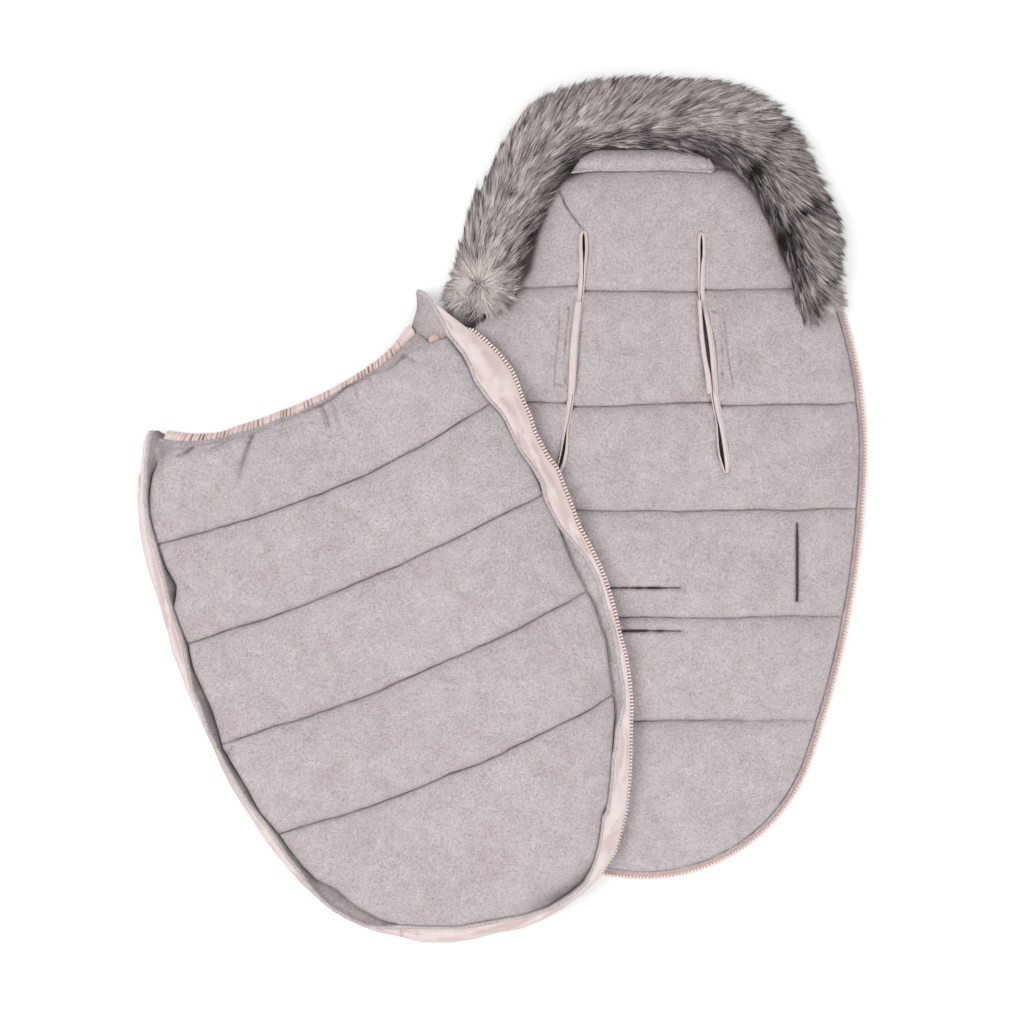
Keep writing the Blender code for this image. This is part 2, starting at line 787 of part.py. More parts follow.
def slider(parts, cutters, metal):
    """The slider hugs the teeth. Its parent turns about the centre of the side arc."""
    axis = bpy.data.objects.new("zip_travel_axis", None)
    parts.objects.link(axis)
    axis.location = (-BACK_SIDE_OFFSET, BACK_SIDE_Y, 0)
    axis.rotation_euler = (0, 0, math.radians(SLIDER_DEG))

    low = TEETH_Z[0] - SLIDER_CLEAR - SLIDER_PLATE
    high = TEETH_Z[1] + SLIDER_CLEAR + SLIDER_PLATE
    outer = BACK_SIDE_RADIUS + SLIDER_CLEAR + SLIDER_PLATE
    inner = BACK_SIDE_RADIUS - SLIDER_REACH
    middle = (outer + inner) / 2
    body = box((outer - inner, SLIDER_LENGTH, high - low), (middle, 0, (low + high) / 2))
    made = add_object("zip_slider", body, metal, parts, axis, smooth_faces=False)
    channel = box(
        (outer - SLIDER_PLATE - inner + 0.01, SLIDER_LENGTH * 2, high - low - 2 * SLIDER_PLATE),
        ((outer - SLIDER_PLATE + inner - 0.01) / 2, 0, (low + high) / 2),
    )
    cut(made, helper("cut_slider_channel", channel, cutters, axis))
    width, length, rise = BRIDGE_SIZE
    sunk = 0.5 * MM
    bridge = box((width, length, rise + sunk), (middle, 0, high + (rise - sunk) / 2))
    union(made, helper("join_slider_bridge", bridge, cutters, axis))
    window_length, window_height = BRIDGE_WINDOW
    window_z = high + 0.3 * MM + window_height / 2
    window = box((width * 3, window_length, window_height), (middle, 0, window_z))
    cut(made, helper("cut_slider_window", window, cutters, axis))

    pull_axis = bpy.data.objects.new("zip_pull_axis", None)
    parts.objects.link(pull_axis)
    pull_axis.parent = axis
    pull_axis.location = (middle, 0, window_z)
    bar_reach = (PULL_WIDTH - 2 * PULL_BAR) / 2
    plate_start = length / 2 + 1.0 * MM
    plate_middle = (plate_start + PULL_LENGTH) / 2
    plate = box(
        (PULL_WIDTH, PULL_LENGTH - plate_start, PULL_THICK), (0, plate_middle, 0)
    )
    pull = add_object("zip_pull_tab", plate, metal, parts, pull_axis, smooth_faces=False)
    for side, name in ((-1, "join_pull_arm_left"), (1, "join_pull_arm_right")):
        arm = box(
            (PULL_BAR, plate_start + PULL_BAR, PULL_THICK),
            (side * (bar_reach + PULL_BAR / 2), plate_start / 2, 0),
        )
        union(pull, helper(name, arm, cutters, pull_axis))
    bar = box((PULL_WIDTH, PULL_BAR, PULL_THICK))
    union(pull, helper("join_pull_bar", bar, cutters, pull_axis))


def above_back(x, y, reach=8 * MM):
    """The highest that the lining stands round a point."""
    return max(back_top(x + a, y + b) for a in (-reach, 0, reach) for b in (-reach, 0, reach))


def hood_point(degrees, inset):
    """A point along the hood, from the left end (180 - start) over 90 to the right end."""
    if degrees <= 90:
        return BACK.point(degrees, inset)
    x, y = BACK.point(180 - degrees, inset)
    return -x, y


def fur_angles(first, last, count):
    """Angles along the hood whose chords are about even."""
    side = (BACK_HOOD_JOIN_DEG - first) * BACK_SIDE_RADIUS
    hood_radius = BACK.arcs[0][2]
    hood = (180 - 2 * BACK_HOOD_JOIN_DEG) * hood_radius
    other = (BACK_HOOD_JOIN_DEG - last) * BACK_SIDE_RADIUS
    whole = side + hood + other
    angles = []
    for k in range(count + 1):
        run = whole * k / count
        if run <= side:
            angles.append(180 - first - run / BACK_SIDE_RADIUS)
        elif run <= side + hood:
            angles.append(180 - BACK_HOOD_JOIN_DEG - (run - side) / hood_radius)
        else:
            angles.append(BACK_HOOD_JOIN_DEG - (run - side - hood) / BACK_SIDE_RADIUS)
    return angles


def fur_trim(parts):
    """A backing strip on the hood's edge and the bulk of the pile, from the left end round."""
    count = 26
    angles = fur_angles(FUR_SPAN_DEG, FUR_SPAN_DEG + 1.5, count)
    backing, pile = [], []
    for k, angle in enumerate(angles):
        share = k / count
        middle = between(FUR_MIDDLE, share)
        half = between(FUR_HALF_WIDTH, share)
        top = between(FUR_TOP_Z, share)
        end = roll(min(share, 1 - share) * count / 2.5 + 0.25)
        strip = []
        near = max(middle - FUR_BACKING_SHARE * half, FUR_BACKING_EDGE)
        reach = max(middle + FUR_BACKING_SHARE * half - near, FUR_BACKING_LEAST)
        for part in (0, 0.25, 0.5, 0.75, 1):
            x, y = hood_point(angle, near + reach * part)
            strip.append((x, y, above_back(x, y) + 2 * GAP))
        backing.append(strip + [(x, y, z + FUR_BACKING_THICK) for x, y, z in reversed(strip)])
        section = []
        for part in (-1, -0.6, -0.2, 0.2, 0.6, 1):
            x, y = hood_point(angle, middle + half * part)
            lift = FUR_BACKING_THICK + 3.6 * MM
            section.append((x, y, above_back(x, y) + lift))
        floor = max(z for _, _, z in section)
        for part in (1.06, 0.82, 0.45, 0.0, -0.45, -0.82, -1.06):
            x, y = hood_point(angle, middle + half * part)
            rise = (top - floor) * end * math.sqrt(max(0.06, 1 - (part / 1.1) ** 2))
            section.append((x, y, floor + rise))
        pile.append(section)
    look = material("fur", (0.42, 0.38, 0.36), 1.0)
    add_object("fur_trim_backing", loft(backing), material("fur_backing", PLUSH, 1.0), parts)
    add_object("fur_trim_pile", loft(pile), look, parts)


def brim_lip(parts):
    """The hood lining's edge, rolled up in front of the fur."""
    bend = bpy.data.curves.new("hood_brim_lip", "CURVE")
    bend.dimensions = "3D"
    bend.bevel_depth = LIP_RADIUS
    bend.bevel_resolution = 2
    bend.use_fill_caps = True
    spline = bend.splines.new("POLY")
    count = 14
    spline.points.add(count)
    for k in range(count + 1):
        share = 2 * k / count - 1
        x = LIP_HALF_LENGTH * share
        y = LIP_Y - LIP_DROP * share * share
        below = max(back_top(x, y + step) for step in (-LIP_RADIUS, 0, LIP_RADIUS))
        spline.points[k].co = (x, y, below + LIP_RADIUS + GAP, 1)
        spline.points[k].radius = 0.55 + 0.45 * roll(3 * (1 - abs(share)))
    bend.materials.append(material("back_plush", PLUSH, 1.0))
    made = bpy.data.objects.new("hood_brim_lip", bend)
    parts.objects.link(made)


def cover_panel(parts, frame):
    """Shell, wadding and lining of the cover, draped over the floor and the back section."""
    channels, seams = cover_rows(0.0, CHANNEL_ROWS, END_ROWS)
    rows = []
    for seam, channel in zip(seams, channels):
        rows.append(seam)
        rows.extend(channel)
    shell = sheet(spread(rows), drape, lambda x, y: drape(x, y) + SHELL_THICK)
    add_object("cover_outer_shell", shell, material("cover_fabric", PINK, 0.8), parts, frame)

    lining = sheet(spread(rows), lambda x, y: cover_top(x, y) - LINING_THICK, cover_top)
    add_object("cover_lining", lining, material("cover_plush", PLUSH, 1.0), parts, frame)

    names = ("top", "upper", "middle", "lower", "foot")
    for name, rows in zip(names, channels):
        if name == "foot":
            rows = rows[:-1]
        wadding = sheet(
            spread(rows, STATIONS[1:-1]),
            lambda x, y: drape(x, y) + SHELL_THICK + 2 * GAP,
            lambda x, y: cover_top(x, y) - LINING_THICK - 2 * GAP,
        )
        add_object(
            f"cover_wadding_{name}",
            wadding,
            material("wadding", (0.85, 0.85, 0.85), 1.0),
            parts,
            frame,
        )


def gusset_angles(count):
    """Angles round the cover from its right corner, over -90 at the foot, to its left corner."""
    start = COVER.angle_at(COVER_TOP[1])
    join = math.degrees(COVER.arcs[1][3])
    side = (start - join) * COVER_SIDE_RADIUS
    foot = (join + 90) * COVER_FOOT_RADIUS
    angles = []
    for k in range(count + 1):
        run = (side + foot) * abs(2 * k / count - 1)
        if run <= foot:
            angle = -90 + run / COVER_FOOT_RADIUS
        else:
            angle = join + (run - foot) / COVER_SIDE_RADIUS
        angles.append((angle, 1 if 2 * k <= count else -1))
    return angles


def gusset(parts, frame):
    """Gusset, zip tape and teeth, standing on the left and flopped outwards on the right."""
    count = 72
    plush, outer, tape, teeth = [], [], [], []
    for k, (angle, side) in enumerate(gusset_angles(count)):
        share = k / count
        x, y = COVER.point(angle)
        foot = Vector((side * x, y, 0))
        normal = Vector((side * math.cos(math.radians(angle)), math.sin(math.radians(angle)), 0))
        lean = GUSSET_LEAN_RIGHT_DEG + (
            GUSSET_LEAN_LEFT_DEG - GUSSET_LEAN_RIGHT_DEG
        ) * smooth((share - 0.3) / 0.3)
        lean += GUSSET_FOLD_DEG * math.sin(2 * math.pi * GUSSET_FOLDS * share)
        lean = math.radians(lean)
        z = drape(foot.x, foot.y) + 2.6 * MM
        start = foot + normal * GUSSET_OUT + Vector((0, 0, z))
        up = Vector((0, 0, 1))
        first = (normal * math.sin(lean * 0.6) + up * math.cos(lean * 0.6)).normalized()
        then = (normal * math.sin(lean) + up * math.cos(lean)).normalized()
        line = [
            start,
            start + first * GUSSET_HEIGHT * 0.45,
            start + first * GUSSET_HEIGHT * 0.45 + then * GUSSET_HEIGHT * 0.55,
        ]
        away = [
            (normal * d.dot(up) - up * d.dot(normal)).normalized()
            for d in (first, (first + then).normalized(), then)
        ]
        half = GUSSET_GAP / 2
        plush.append(strip_section(line, away, -half - PLUSH_THICK, -half))
        outer.append(strip_section(line, away, half, half + OUTER_THICK))
        rim = line[-1]
        flat = away[-1]
        tape.append(
            rectangle(rim + then * 2 * GAP, then, flat, COVER_TAPE_WIDTH, COVER_TAPE_THICK)
        )
        edge = rim + then * (COVER_TAPE_WIDTH + 3 * GAP)
        teeth.append(rectangle(edge, then, flat, COVER_TEETH, COVER_TEETH))
    pink = material("gusset_fabric", PINK, 0.8)
    rose = material("zip_tape", ROSE_GOLD, 0.8)
    metal = material("rose_gold_metal", ROSE_GOLD, 0.3, 0.9)
    add_object("gusset_lining", loft(plush), material("cover_plush", PLUSH, 1.0), parts, frame)
    add_object("gusset_outer", loft(outer), pink, parts, frame)
    add_object("cover_zip_tape", loft(tape), rose, parts, frame)
    add_object("cover_zip_teeth", loft(teeth[2:-2]), metal, parts, frame)
    add_object("cover_zip_pin", loft(short_of(teeth[0], teeth[1], teeth[2])), metal, parts, frame)
    add_object(
        "cover_zip_stop", loft(short_of(teeth[-1], teeth[-2], teeth[-3])), metal, parts, frame
    )
    return pink


def short_of(first, second, third):
    """Sections from first to just short of third, which leaves a gap to what starts there."""
    back = []
    for a, b in zip(second, third):
        a, b = Vector(a), Vector(b)
        back.append(b + (a - b).normalized() * 2 * GAP)
    return [first, second, back]


def strip_section(line, away, low, high):
    near = [point + side * low for point, side in zip(line, away)]
    far = [point + side * high for point, side in zip(line, away)]
    return near + far[::-1]


def rectangle(start, along, flat, length, thick):
    half = flat * thick / 2
    end = start + along * length
    return [start - half, end - half, end + half, start + half]


def top_edge(parts, frame, pink):
    """The gathered casing on the cover's top edge, open below, and the elastic in it."""
    casing, elastic = [], []
    count = 40
    reach = COVER.half_width(COVER_TOP[1]) - 0.012
    for k in range(count + 1):
        x = reach * (2 * k / count - 1)
        y = cover_top_line(x) + CASING_THICK / 2 + 2 * GAP
        z = drape(x, y) + 1.5 * MM
        ruffle = 1.3 * MM * math.sin(k * 2.4)
        half = CASING_THICK / 2
        top = z + CASING_HEIGHT + ruffle
        inner = half - CASING_WALL
        casing.append(
            [
                (x, y - half, z),
                (x, y - inner, z),
                (x, y - inner, top - CASING_WALL),
                (x, y + inner, top - CASING_WALL),
                (x, y + inner, z),
                (x, y + half, z),
                (x, y + half, top),
                (x, y - half, top),
            ]
        )
        width, height = ELASTIC_SIZE
        low = z + 0.5 * MM
        elastic.append(
            [
                (x, y - width / 2, low),
                (x, y + width / 2, low),
                (x, y + width / 2, low + height),
                (x, y - width / 2, low + height),
            ]
        )
    add_object("cover_top_casing", loft(casing), pink, parts, frame)
    add_object(
        "cover_top_elastic", loft(elastic), material("elastic", (0.8, 0.8, 0.8), 0.9), parts, frame
    )


def press_stud(parts, frame):
    """A rose-gold cap and the socket under it, at the cover's right top corner."""
    metal = material("rose_gold_metal", ROSE_GOLD, 0.3, 0.9)
    x, y = SNAP_PLACE
    around = [
        cover_top(x + SNAP_RADIUS * math.cos(a), y + SNAP_RADIUS * math.sin(a))
        for a in (math.pi * k / 6 for k in range(12))
    ]
    low = max(around) + GAP
    for part, radius, thick, z in (
        ("socket", SNAP_RADIUS * 0.7, 1.6 * MM, low),
        ("cap", SNAP_RADIUS, 1.8 * MM, low + 1.6 * MM + GAP),
    ):
        bm = bmesh.new()
        bmesh.ops.create_cone(
            bm,
            cap_ends=True,
            segments=24,
            radius1=radius,
            radius2=radius * 0.82,
            depth=thick,
        )
        bmesh.ops.translate(bm, vec=(0, 0, thick / 2), verts=bm.verts)
        made = add_object(f"snap_{part}", bm, metal, parts, frame)
        made.location = (x, y, z)


def build():
    for old in list(bpy.data.objects):
        bpy.data.objects.remove(old, do_unlink=True)
    parts = bpy.data.collections.new("stroller_footmuff")
    cutters = bpy.data.collections.new("cutters")
    bpy.context.scene.collection.children.link(parts)
    bpy.context.scene.collection.children.link(cutters)

    back_section(parts, cutters)
    pink = bindings(parts)
    closing_tabs(parts, pink)
    metal = back_zip(parts)
    slider(parts, cutters, metal)
    fur_trim(parts)
    brim_lip(parts)

    frame = bpy.data.objects.new("cover_frame", None)
    parts.objects.link(frame)
    frame.location = (*COVER_TIP, 0)
    frame.rotation_euler = (0, 0, math.radians(COVER_TURN_DEG))
    cover_panel(parts, frame)
    pink = gusset(parts, frame)
    top_edge(parts, frame, pink)
    press_stud(parts, frame)


build()
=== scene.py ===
import math

import bpy
import numpy as np
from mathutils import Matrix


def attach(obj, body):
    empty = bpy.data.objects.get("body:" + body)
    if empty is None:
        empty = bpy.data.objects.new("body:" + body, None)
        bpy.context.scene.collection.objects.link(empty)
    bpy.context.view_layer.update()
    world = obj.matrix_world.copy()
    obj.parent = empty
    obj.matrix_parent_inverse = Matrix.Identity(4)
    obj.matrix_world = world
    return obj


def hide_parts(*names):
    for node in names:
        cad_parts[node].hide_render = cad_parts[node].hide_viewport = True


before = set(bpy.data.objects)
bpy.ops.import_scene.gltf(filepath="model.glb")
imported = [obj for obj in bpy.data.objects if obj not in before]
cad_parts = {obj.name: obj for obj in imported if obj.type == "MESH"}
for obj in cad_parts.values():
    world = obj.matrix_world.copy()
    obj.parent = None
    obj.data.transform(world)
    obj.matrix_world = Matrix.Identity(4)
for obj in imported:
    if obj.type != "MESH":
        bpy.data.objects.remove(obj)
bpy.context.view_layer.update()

MM = 0.001

# The photograph looks straight down. Its pixels become metres on the floor.
PIXEL = 0.0012
PHOTO_ORIGIN = (645, 610)
CAMERA_HEIGHT = 4.116
CAMERA_XY = (-0.1596, 0.1176)

# Back section: the radius and centre of the long side arcs, and the angles where they join
BACK_SIDE = 0.552
BACK_SIDE_XY = (-0.283, 0.189)
HOOD_JOIN_DEG = 37
BACK_CORNERS_DEG = (62.0, -48.0)
# How far in from the outline the lining and the shell end
EDGE = 7 * MM
EDGE_INSET = 9 * MM
# Heights of the lining at its rim, at a channel's crown and, as a share, at a seam
RIM_Z, CROWN_Z = 7.9 * MM, 24 * MM
SEAM_SHARE = 0.35
ROLL_OFF = 0.045
BACK_SEAM_Y = (0.530, 0.382, 0.247, 0.119, -0.010, -0.134)
BACK_SEAM_SAG = 0.003
# The back's half width, where seams and noise are measured from
BACK_HALF = 0.27
# How far two seams are off their line, in mm: at the left edge, beside both slots, at the right
SEAM_STEPS = {0.382: (2, 6, 0.5, -0.5, 3, 1), 0.247: (1, 1, -3, 1.5, -2.5, -1)}
# The slits, in metres. HIP_SLIT is half of the open width in mm.
HIP_X = 0.1825
HIP_Y = (0.008, 0.104)
CROTCH_Y = (0.0265, -0.0255)
CROTCH_X = 0.046
SLIT_HALF = 0.6 * MM
HIP_SLIT = 0.5
# The zip
TEETH_Z = (2.6 * MM, 6.6 * MM)
ZIP_END_DEG = (21.5, 22.5)
TOOTH_PITCH = 4.2 * MM

# Fur trim
FUR_SPAN_DEG = (19.0, 20.5)
FUR_MIDDLE = (0.041, 0.021, -0.003, 0.008, -0.012, 0.004, 0.033)
FUR_HALF_WIDTH = (0.030, 0.035, 0.034, 0.036, 0.037, 0.033, 0.019)
FUR_TOP_Z = (0.038, 0.050, 0.054, 0.056, 0.054, 0.050, 0.038)

# Front cover, in its own frame: side arcs of one radius and a round foot
COVER_SIDE = 1.0145
COVER_FOOT = 0.220
COVER_FOOT_DEG = -50.0
COVER_SEAM_END = 0.217
COVER_TOP_END = 0.183
COVER_TIP = (-0.156, -0.3816)
COVER_TURN = math.radians(22.8)
COVER_SEAMS = ((0.571, 0.591), (0.455, 0.465), (0.326, 0.338), (0.199, 0.213))
COVER_TOP = (0.703, 0.716)
COVER_RIM, COVER_CROWN = 6.5 * MM, 22 * MM
DRAPE_HEIGHT, DRAPE_OUT, DRAPE_IN = 0.0275, 0.080, 0.060
# How strongly painted shade darkens the sewn seams' grooves
SEAM_PAINTED_SHADE = 0.55


def clamp(value, low=0.0, high=1.0):
    return np.clip(value, low, high)


def roll(share):
    """A quarter circle: 0 at the edge, 1 and level from share 1 on."""
    return np.sqrt(1 - (1 - clamp(share)) ** 2)


def smooth(share):
    share = clamp(share)
    return share * share * (3 - 2 * share)


def bump(distance, width):
    return np.exp(-((distance / width) ** 2))


def noise(x, y, size, seed):
    """Smooth noise from -1 to 1 over the plane, in cells of this size."""
    table = np.random.default_rng(seed).uniform(-1, 1, (256, 256))
    gx, gy = np.broadcast_arrays(np.asarray(x) / size + 500, np.asarray(y) / size + 500)
    ix, iy = np.floor(gx).astype(int), np.floor(gy).astype(int)
    fx, fy = gx - ix, gy - iy
    fx, fy = fx * fx * (3 - 2 * fx), fy * fy * (3 - 2 * fy)
    ix, iy, jx, jy = ix % 256, iy % 256, (ix + 1) % 256, (iy + 1) % 256
    low = table[ix, iy] * (1 - fx) + table[jx, iy] * fx
    high = table[ix, jy] * (1 - fx) + table[jx, jy] * fx
    return low * (1 - fy) + high * fy


def layers(x, y, size, seed, count=3):
    """Noise with finer noise on it."""
    return sum(noise(x, y, size / 2**k, seed + k) / 2**k for k in range(count))


def between(values, share):
    """Values at even shares from 0 to 1, joined smoothly."""
    values = np.asarray(values, float)
    place = clamp(share) * (len(values) - 1)
    first = np.minimum(place.astype(int), len(values) - 2)
    return values[first] + (values[first + 1] - values[first]) * smooth(place - first)


def to_plane(px, py, z=0.0):
    """The point at height z that the photograph shows at these pixels."""
    x = (np.asarray(px, float) - PHOTO_ORIGIN[0]) * PIXEL
    y = (PHOTO_ORIGIN[1] - np.asarray(py, float)) * PIXEL
    near = 1 - z / CAMERA_HEIGHT
    return CAMERA_XY[0] + (x - CAMERA_XY[0]) * near, CAMERA_XY[1] + (y - CAMERA_XY[1]) * near


def to_cover(x, y):
    dx, dy = x - COVER_TIP[0], y - COVER_TIP[1]
    cos, sin = math.cos(COVER_TURN), math.sin(COVER_TURN)
    return dx * cos + dy * sin, dy * cos - dx * sin


def from_cover(x, y):
    cos, sin = math.cos(COVER_TURN), math.sin(COVER_TURN)
    return COVER_TIP[0] + x * cos - y * sin, COVER_TIP[1] + x * sin + y * cos


def plane_line(*pixels, z=0.025):
    px, py = np.array(pixels, float).T
    return np.stack(to_plane(px, py, z), 1)


def unit(vectors):
    return vectors / np.maximum(np.linalg.norm(vectors, axis=-1, keepdims=True), 1e-9)


def travelled(line):
    """The distance along a line of points to each of them."""
    return np.concatenate([[0], np.cumsum(np.linalg.norm(np.diff(line, axis=0), axis=1))])


def from_line(x, y, line):
    """Distance to a line of points, the side it is on, and the share of the way along it."""
    best = np.full(np.shape(x), 9.0)
    side, along = np.zeros(np.shape(x)), np.zeros(np.shape(x))
    for k, (a, b) in enumerate(zip(line, line[1:])):
        d = b - a
        share = clamp(((x - a[0]) * d[0] + (y - a[1]) * d[1]) / (d @ d))
        ox, oy = x - a[0] - share * d[0], y - a[1] - share * d[1]
        away = np.hypot(ox, oy)
        less = away < best
        best = np.where(less, away, best)
        side = np.where(less, np.sign(d[0] * oy - d[1] * ox), side)
        along = np.where(less, (k + share) / (len(line) - 1), along)
    return best, side, along


class Oval:
    """A shape symmetric about x = 0, its right side made of tangent arcs from top to foot."""

    def __init__(self, *arcs):
        self.arcs = arcs

    def point(self, degrees, inset=0.0):
        """Points whose normals have these angles. Angles below -90 go up the left side."""
        degrees = np.asarray(degrees, float)
        side = np.where((degrees < -90) | (degrees > 90), -1.0, 1.0)
        angle = np.where(degrees < -90, -180 - degrees, degrees)
        angle = np.radians(np.where(degrees > 90, 180 - degrees, angle))
        x, y = np.zeros(degrees.shape), np.zeros(degrees.shape)
        for k, (cx, cy, radius, first, last) in enumerate(self.arcs):
            low = -9 if k == len(self.arcs) - 1 else last
            high = 9 if k == 0 else first
            here = (angle >= low) & (angle <= high)
            x = np.where(here, cx + (radius - inset) * np.cos(angle), x)
            y = np.where(here, cy + (radius - inset) * np.sin(angle), y)
        return side * x, y

    def arc_at(self, y, inset):
        """The centre's x, the radius and the angle where the right side has this height."""
        for cx, cy, radius, first, last in self.arcs:
            sine = (y - cy) / (radius - inset)
            if abs(sine) <= 1 and last - 1e-6 <= math.asin(sine) <= first + 1e-6:
                return cx, radius - inset, math.asin(sine)
        raise ValueError("no arc reaches that height")

    def half_width(self, y, inset=0.0):
        cx, radius, angle = self.arc_at(y, inset)
        return cx + radius * math.cos(angle)

    def angle_at(self, y, inset=0.0):
        return math.degrees(self.arc_at(y, inset)[2])

    def depth(self, x, y):
        """How far points are inside the outline, or, below 0, outside it."""
        found = np.full(np.broadcast(x, y).shape, 0.18)
        for cx, cy, radius, first, last in self.arcs:
            angle = np.arctan2(y - cy, np.abs(x) - cx)
            here = (angle >= last - 1e-6) & (angle <= first + 1e-6)
            away = radius - np.hypot(np.abs(x) - cx, y - cy)
            found = np.where(here & (away < found), away, found)
        return found


def back_oval():
    side_radius, offset, side_y = BACK_SIDE, -BACK_SIDE_XY[0], BACK_SIDE_XY[1]
    foot_radius, foot_y = 0.214, -0.112
    hood_join, low_join = math.radians(HOOD_JOIN_DEG), math.radians(-2.0)
    hood_radius = side_radius - offset / math.cos(hood_join)
    hood_y = side_y + (side_radius - hood_radius) * math.sin(hood_join)
    down, less = foot_y - side_y, side_radius - foot_radius
    grown = (offset**2 + down**2 - less**2) / (
        2 * (less - offset * math.cos(low_join) - down * math.sin(low_join))
    )
    lower = (-offset - grown * math.cos(low_join), side_y - grown * math.sin(low_join))
    foot_join = math.atan2(foot_y - lower[1], -lower[0])
    return Oval(
        (0.0, hood_y, hood_radius, math.pi / 2, hood_join),
        (-offset, side_y, side_radius, hood_join, low_join),
        (*lower, side_radius + grown, low_join, foot_join),
        (0.0, foot_y, foot_radius, foot_join, -math.pi / 2),
    )


def cover_oval():
    side_radius, offset, side_y, foot_radius = COVER_SIDE, 0.7794, 0.396, COVER_FOOT
    less = side_radius - foot_radius
    join = -math.acos(offset / less)
    return Oval(
        (-offset, side_y, side_radius, math.pi / 4, join),
        (0.0, side_y + less * math.sin(join), foot_radius, join, -math.pi / 2),
    )


BACK = back_oval()
COVER = cover_oval()


def back_shape(x, y, depth):
    """Height of the quilted lining, before its details."""
    sag = BACK_SEAM_SAG * (x / 0.26) ** 2
    nearest = np.full(np.shape(y), 9.0)
    for seam in BACK_SEAM_Y:
        nearest = np.minimum(nearest, np.abs(y - seam - sag))
    shape = SEAM_SHARE + (1 - SEAM_SHARE) * roll(nearest / ROLL_OFF)
    edge = roll((depth - EDGE_INSET) / ROLL_OFF)
    return RIM_Z + (CROWN_Z - RIM_Z) * edge * shape, nearest


def drape(x, y):
    """Height of the cover's underside, on the floor or up on the back section."""
    depth = BACK.depth(*from_cover(x, y))
    return DRAPE_HEIGHT * smooth((depth + DRAPE_OUT) / (DRAPE_OUT + DRAPE_IN))


def over_cover(points, rise):
    """Points of the cover's frame in the scene, this high over where the cover lies."""
    x, y = points[:, 0], points[:, 1]
    return np.column_stack([*from_cover(x, y), drape(x, y) + rise])


# Meshes


def linked(name, data):
    made = bpy.data.objects.new(name, data)
    bpy.context.scene.collection.objects.link(made)
    return made


def placed(name, mesh, body):
    made = linked(name, mesh)
    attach(made, body)
    return made


def add_mesh(name, verts, faces, look, body, flat=False):
    mesh = bpy.data.meshes.new(name)
    mesh.from_pydata([tuple(v) for v in np.asarray(verts, float)], [], faces)
    mesh.update()
    mesh.materials.append(look)
    if not flat:
        mesh.shade_smooth()
    return placed(name, mesh, body)


def quick_mesh(name, verts, quads, look, body):
    """A mesh of quads from arrays, for large numbers of faces."""
    mesh = bpy.data.meshes.new(name)
    verts, quads = np.asarray(verts, np.float32), np.asarray(quads, np.int32)
    mesh.vertices.add(len(verts))
    mesh.vertices.foreach_set("co", verts.ravel())
    mesh.loops.add(quads.size)
    mesh.loops.foreach_set("vertex_index", quads.ravel())
    mesh.polygons.add(len(quads))
    mesh.polygons.foreach_set("loop_start", np.arange(0, quads.size, 4, dtype=np.int32))
    mesh.polygons.foreach_set("loop_total", np.full(len(quads), 4, np.int32))
    mesh.update(calc_edges=True)
    mesh.validate()
    mesh.materials.append(look)
    mesh.shade_smooth()
    return placed(name, mesh, body)


def ring_grid(count, size, closed=False):
    """Quads that skin count rings of size points."""
    a = np.arange(count if closed else count - 1)[:, None] * size
    b = (np.arange(1, count + 1 if closed else count) % count)[:, None] * size
    k, after = np.arange(size)[None, :], (np.arange(size) + 1) % size
    return np.stack([a + k, a + after, b + after, b + k], -1).reshape(-1, 4)


def loft(name, rings, look, body, closed=False):
    """A skin over rings, an array of shape (count, size, 3), capped at its ends."""
    count, size = rings.shape[:2]
    faces = [tuple(f) for f in ring_grid(count, size, closed)]
    if not closed:
        faces.append(tuple(range(size - 1, -1, -1)))
        faces.append(tuple(range((count - 1) * size, count * size)))
    return add_mesh(name, rings.reshape(-1, 3), faces, look, body)


def panel(name, x, y, z, keep, low, look, body):
    """A closed body: a grid of points on top, walls round what keep leaves out, a level bottom."""
    rows, columns = x.shape
    top = np.arange(rows * columns).reshape(rows, columns)
    verts = np.stack([x, y, z], -1).reshape(-1, 3)
    edge = np.zeros((rows, columns), bool)
    walls = []
    padded = np.pad(keep, 1)
    for di, dj, first, second in (
        (0, 1, (0, 0), (0, 1)),
        (2, 1, (1, 1), (1, 0)),
        (1, 0, (1, 0), (0, 0)),
        (1, 2, (0, 1), (1, 1)),
    ):
        open_side = keep & ~padded[di:di + rows - 1, dj:dj + columns - 1]
        for i, j in zip(*np.nonzero(open_side)):
            a, b = (i + first[0], j + first[1]), (i + second[0], j + second[1])
            edge[a] = edge[b] = True
            walls.append((a, b))
    below = np.full((rows, columns), -1)
    below[edge] = rows * columns + np.arange(edge.sum())
    under = verts.reshape(rows, columns, 3)[edge].copy()
    under[:, 2] = low(under[:, 0], under[:, 1])
    used = np.zeros(rows * columns, bool)
    i, j = np.nonzero(keep)
    quads = np.stack([top[i, j], top[i, j + 1], top[i + 1, j + 1], top[i + 1, j]], -1)
    used[quads.ravel()] = True
    faces = [tuple(q) for q in quads]
    faces.extend((top[b], top[a], below[a], below[b]) for a, b in walls)
    for i in range(rows - 1):
        starts = np.flatnonzero(keep[i] & ~np.pad(keep[i], (1, 0))[:-1])
        ends = np.flatnonzero(keep[i] & ~np.pad(keep[i], (0, 1))[1:]) + 1
        for first, last in zip(starts, ends):
            near = [below[i, k] for k in range(first, last + 1) if edge[i, k]]
            far = [below[i + 1, k] for k in range(first, last + 1) if edge[i + 1, k]]
            faces.append(tuple(near[::-1] + far))
    number = np.full(len(used) + len(under), -1)
    kept = np.concatenate([used, np.ones(len(under), bool)])
    number[kept] = np.arange(kept.sum())
    faces = [tuple(int(number[v]) for v in face) for face in faces]
    return add_mesh(name, np.concatenate([verts, under])[kept], faces, look, body)


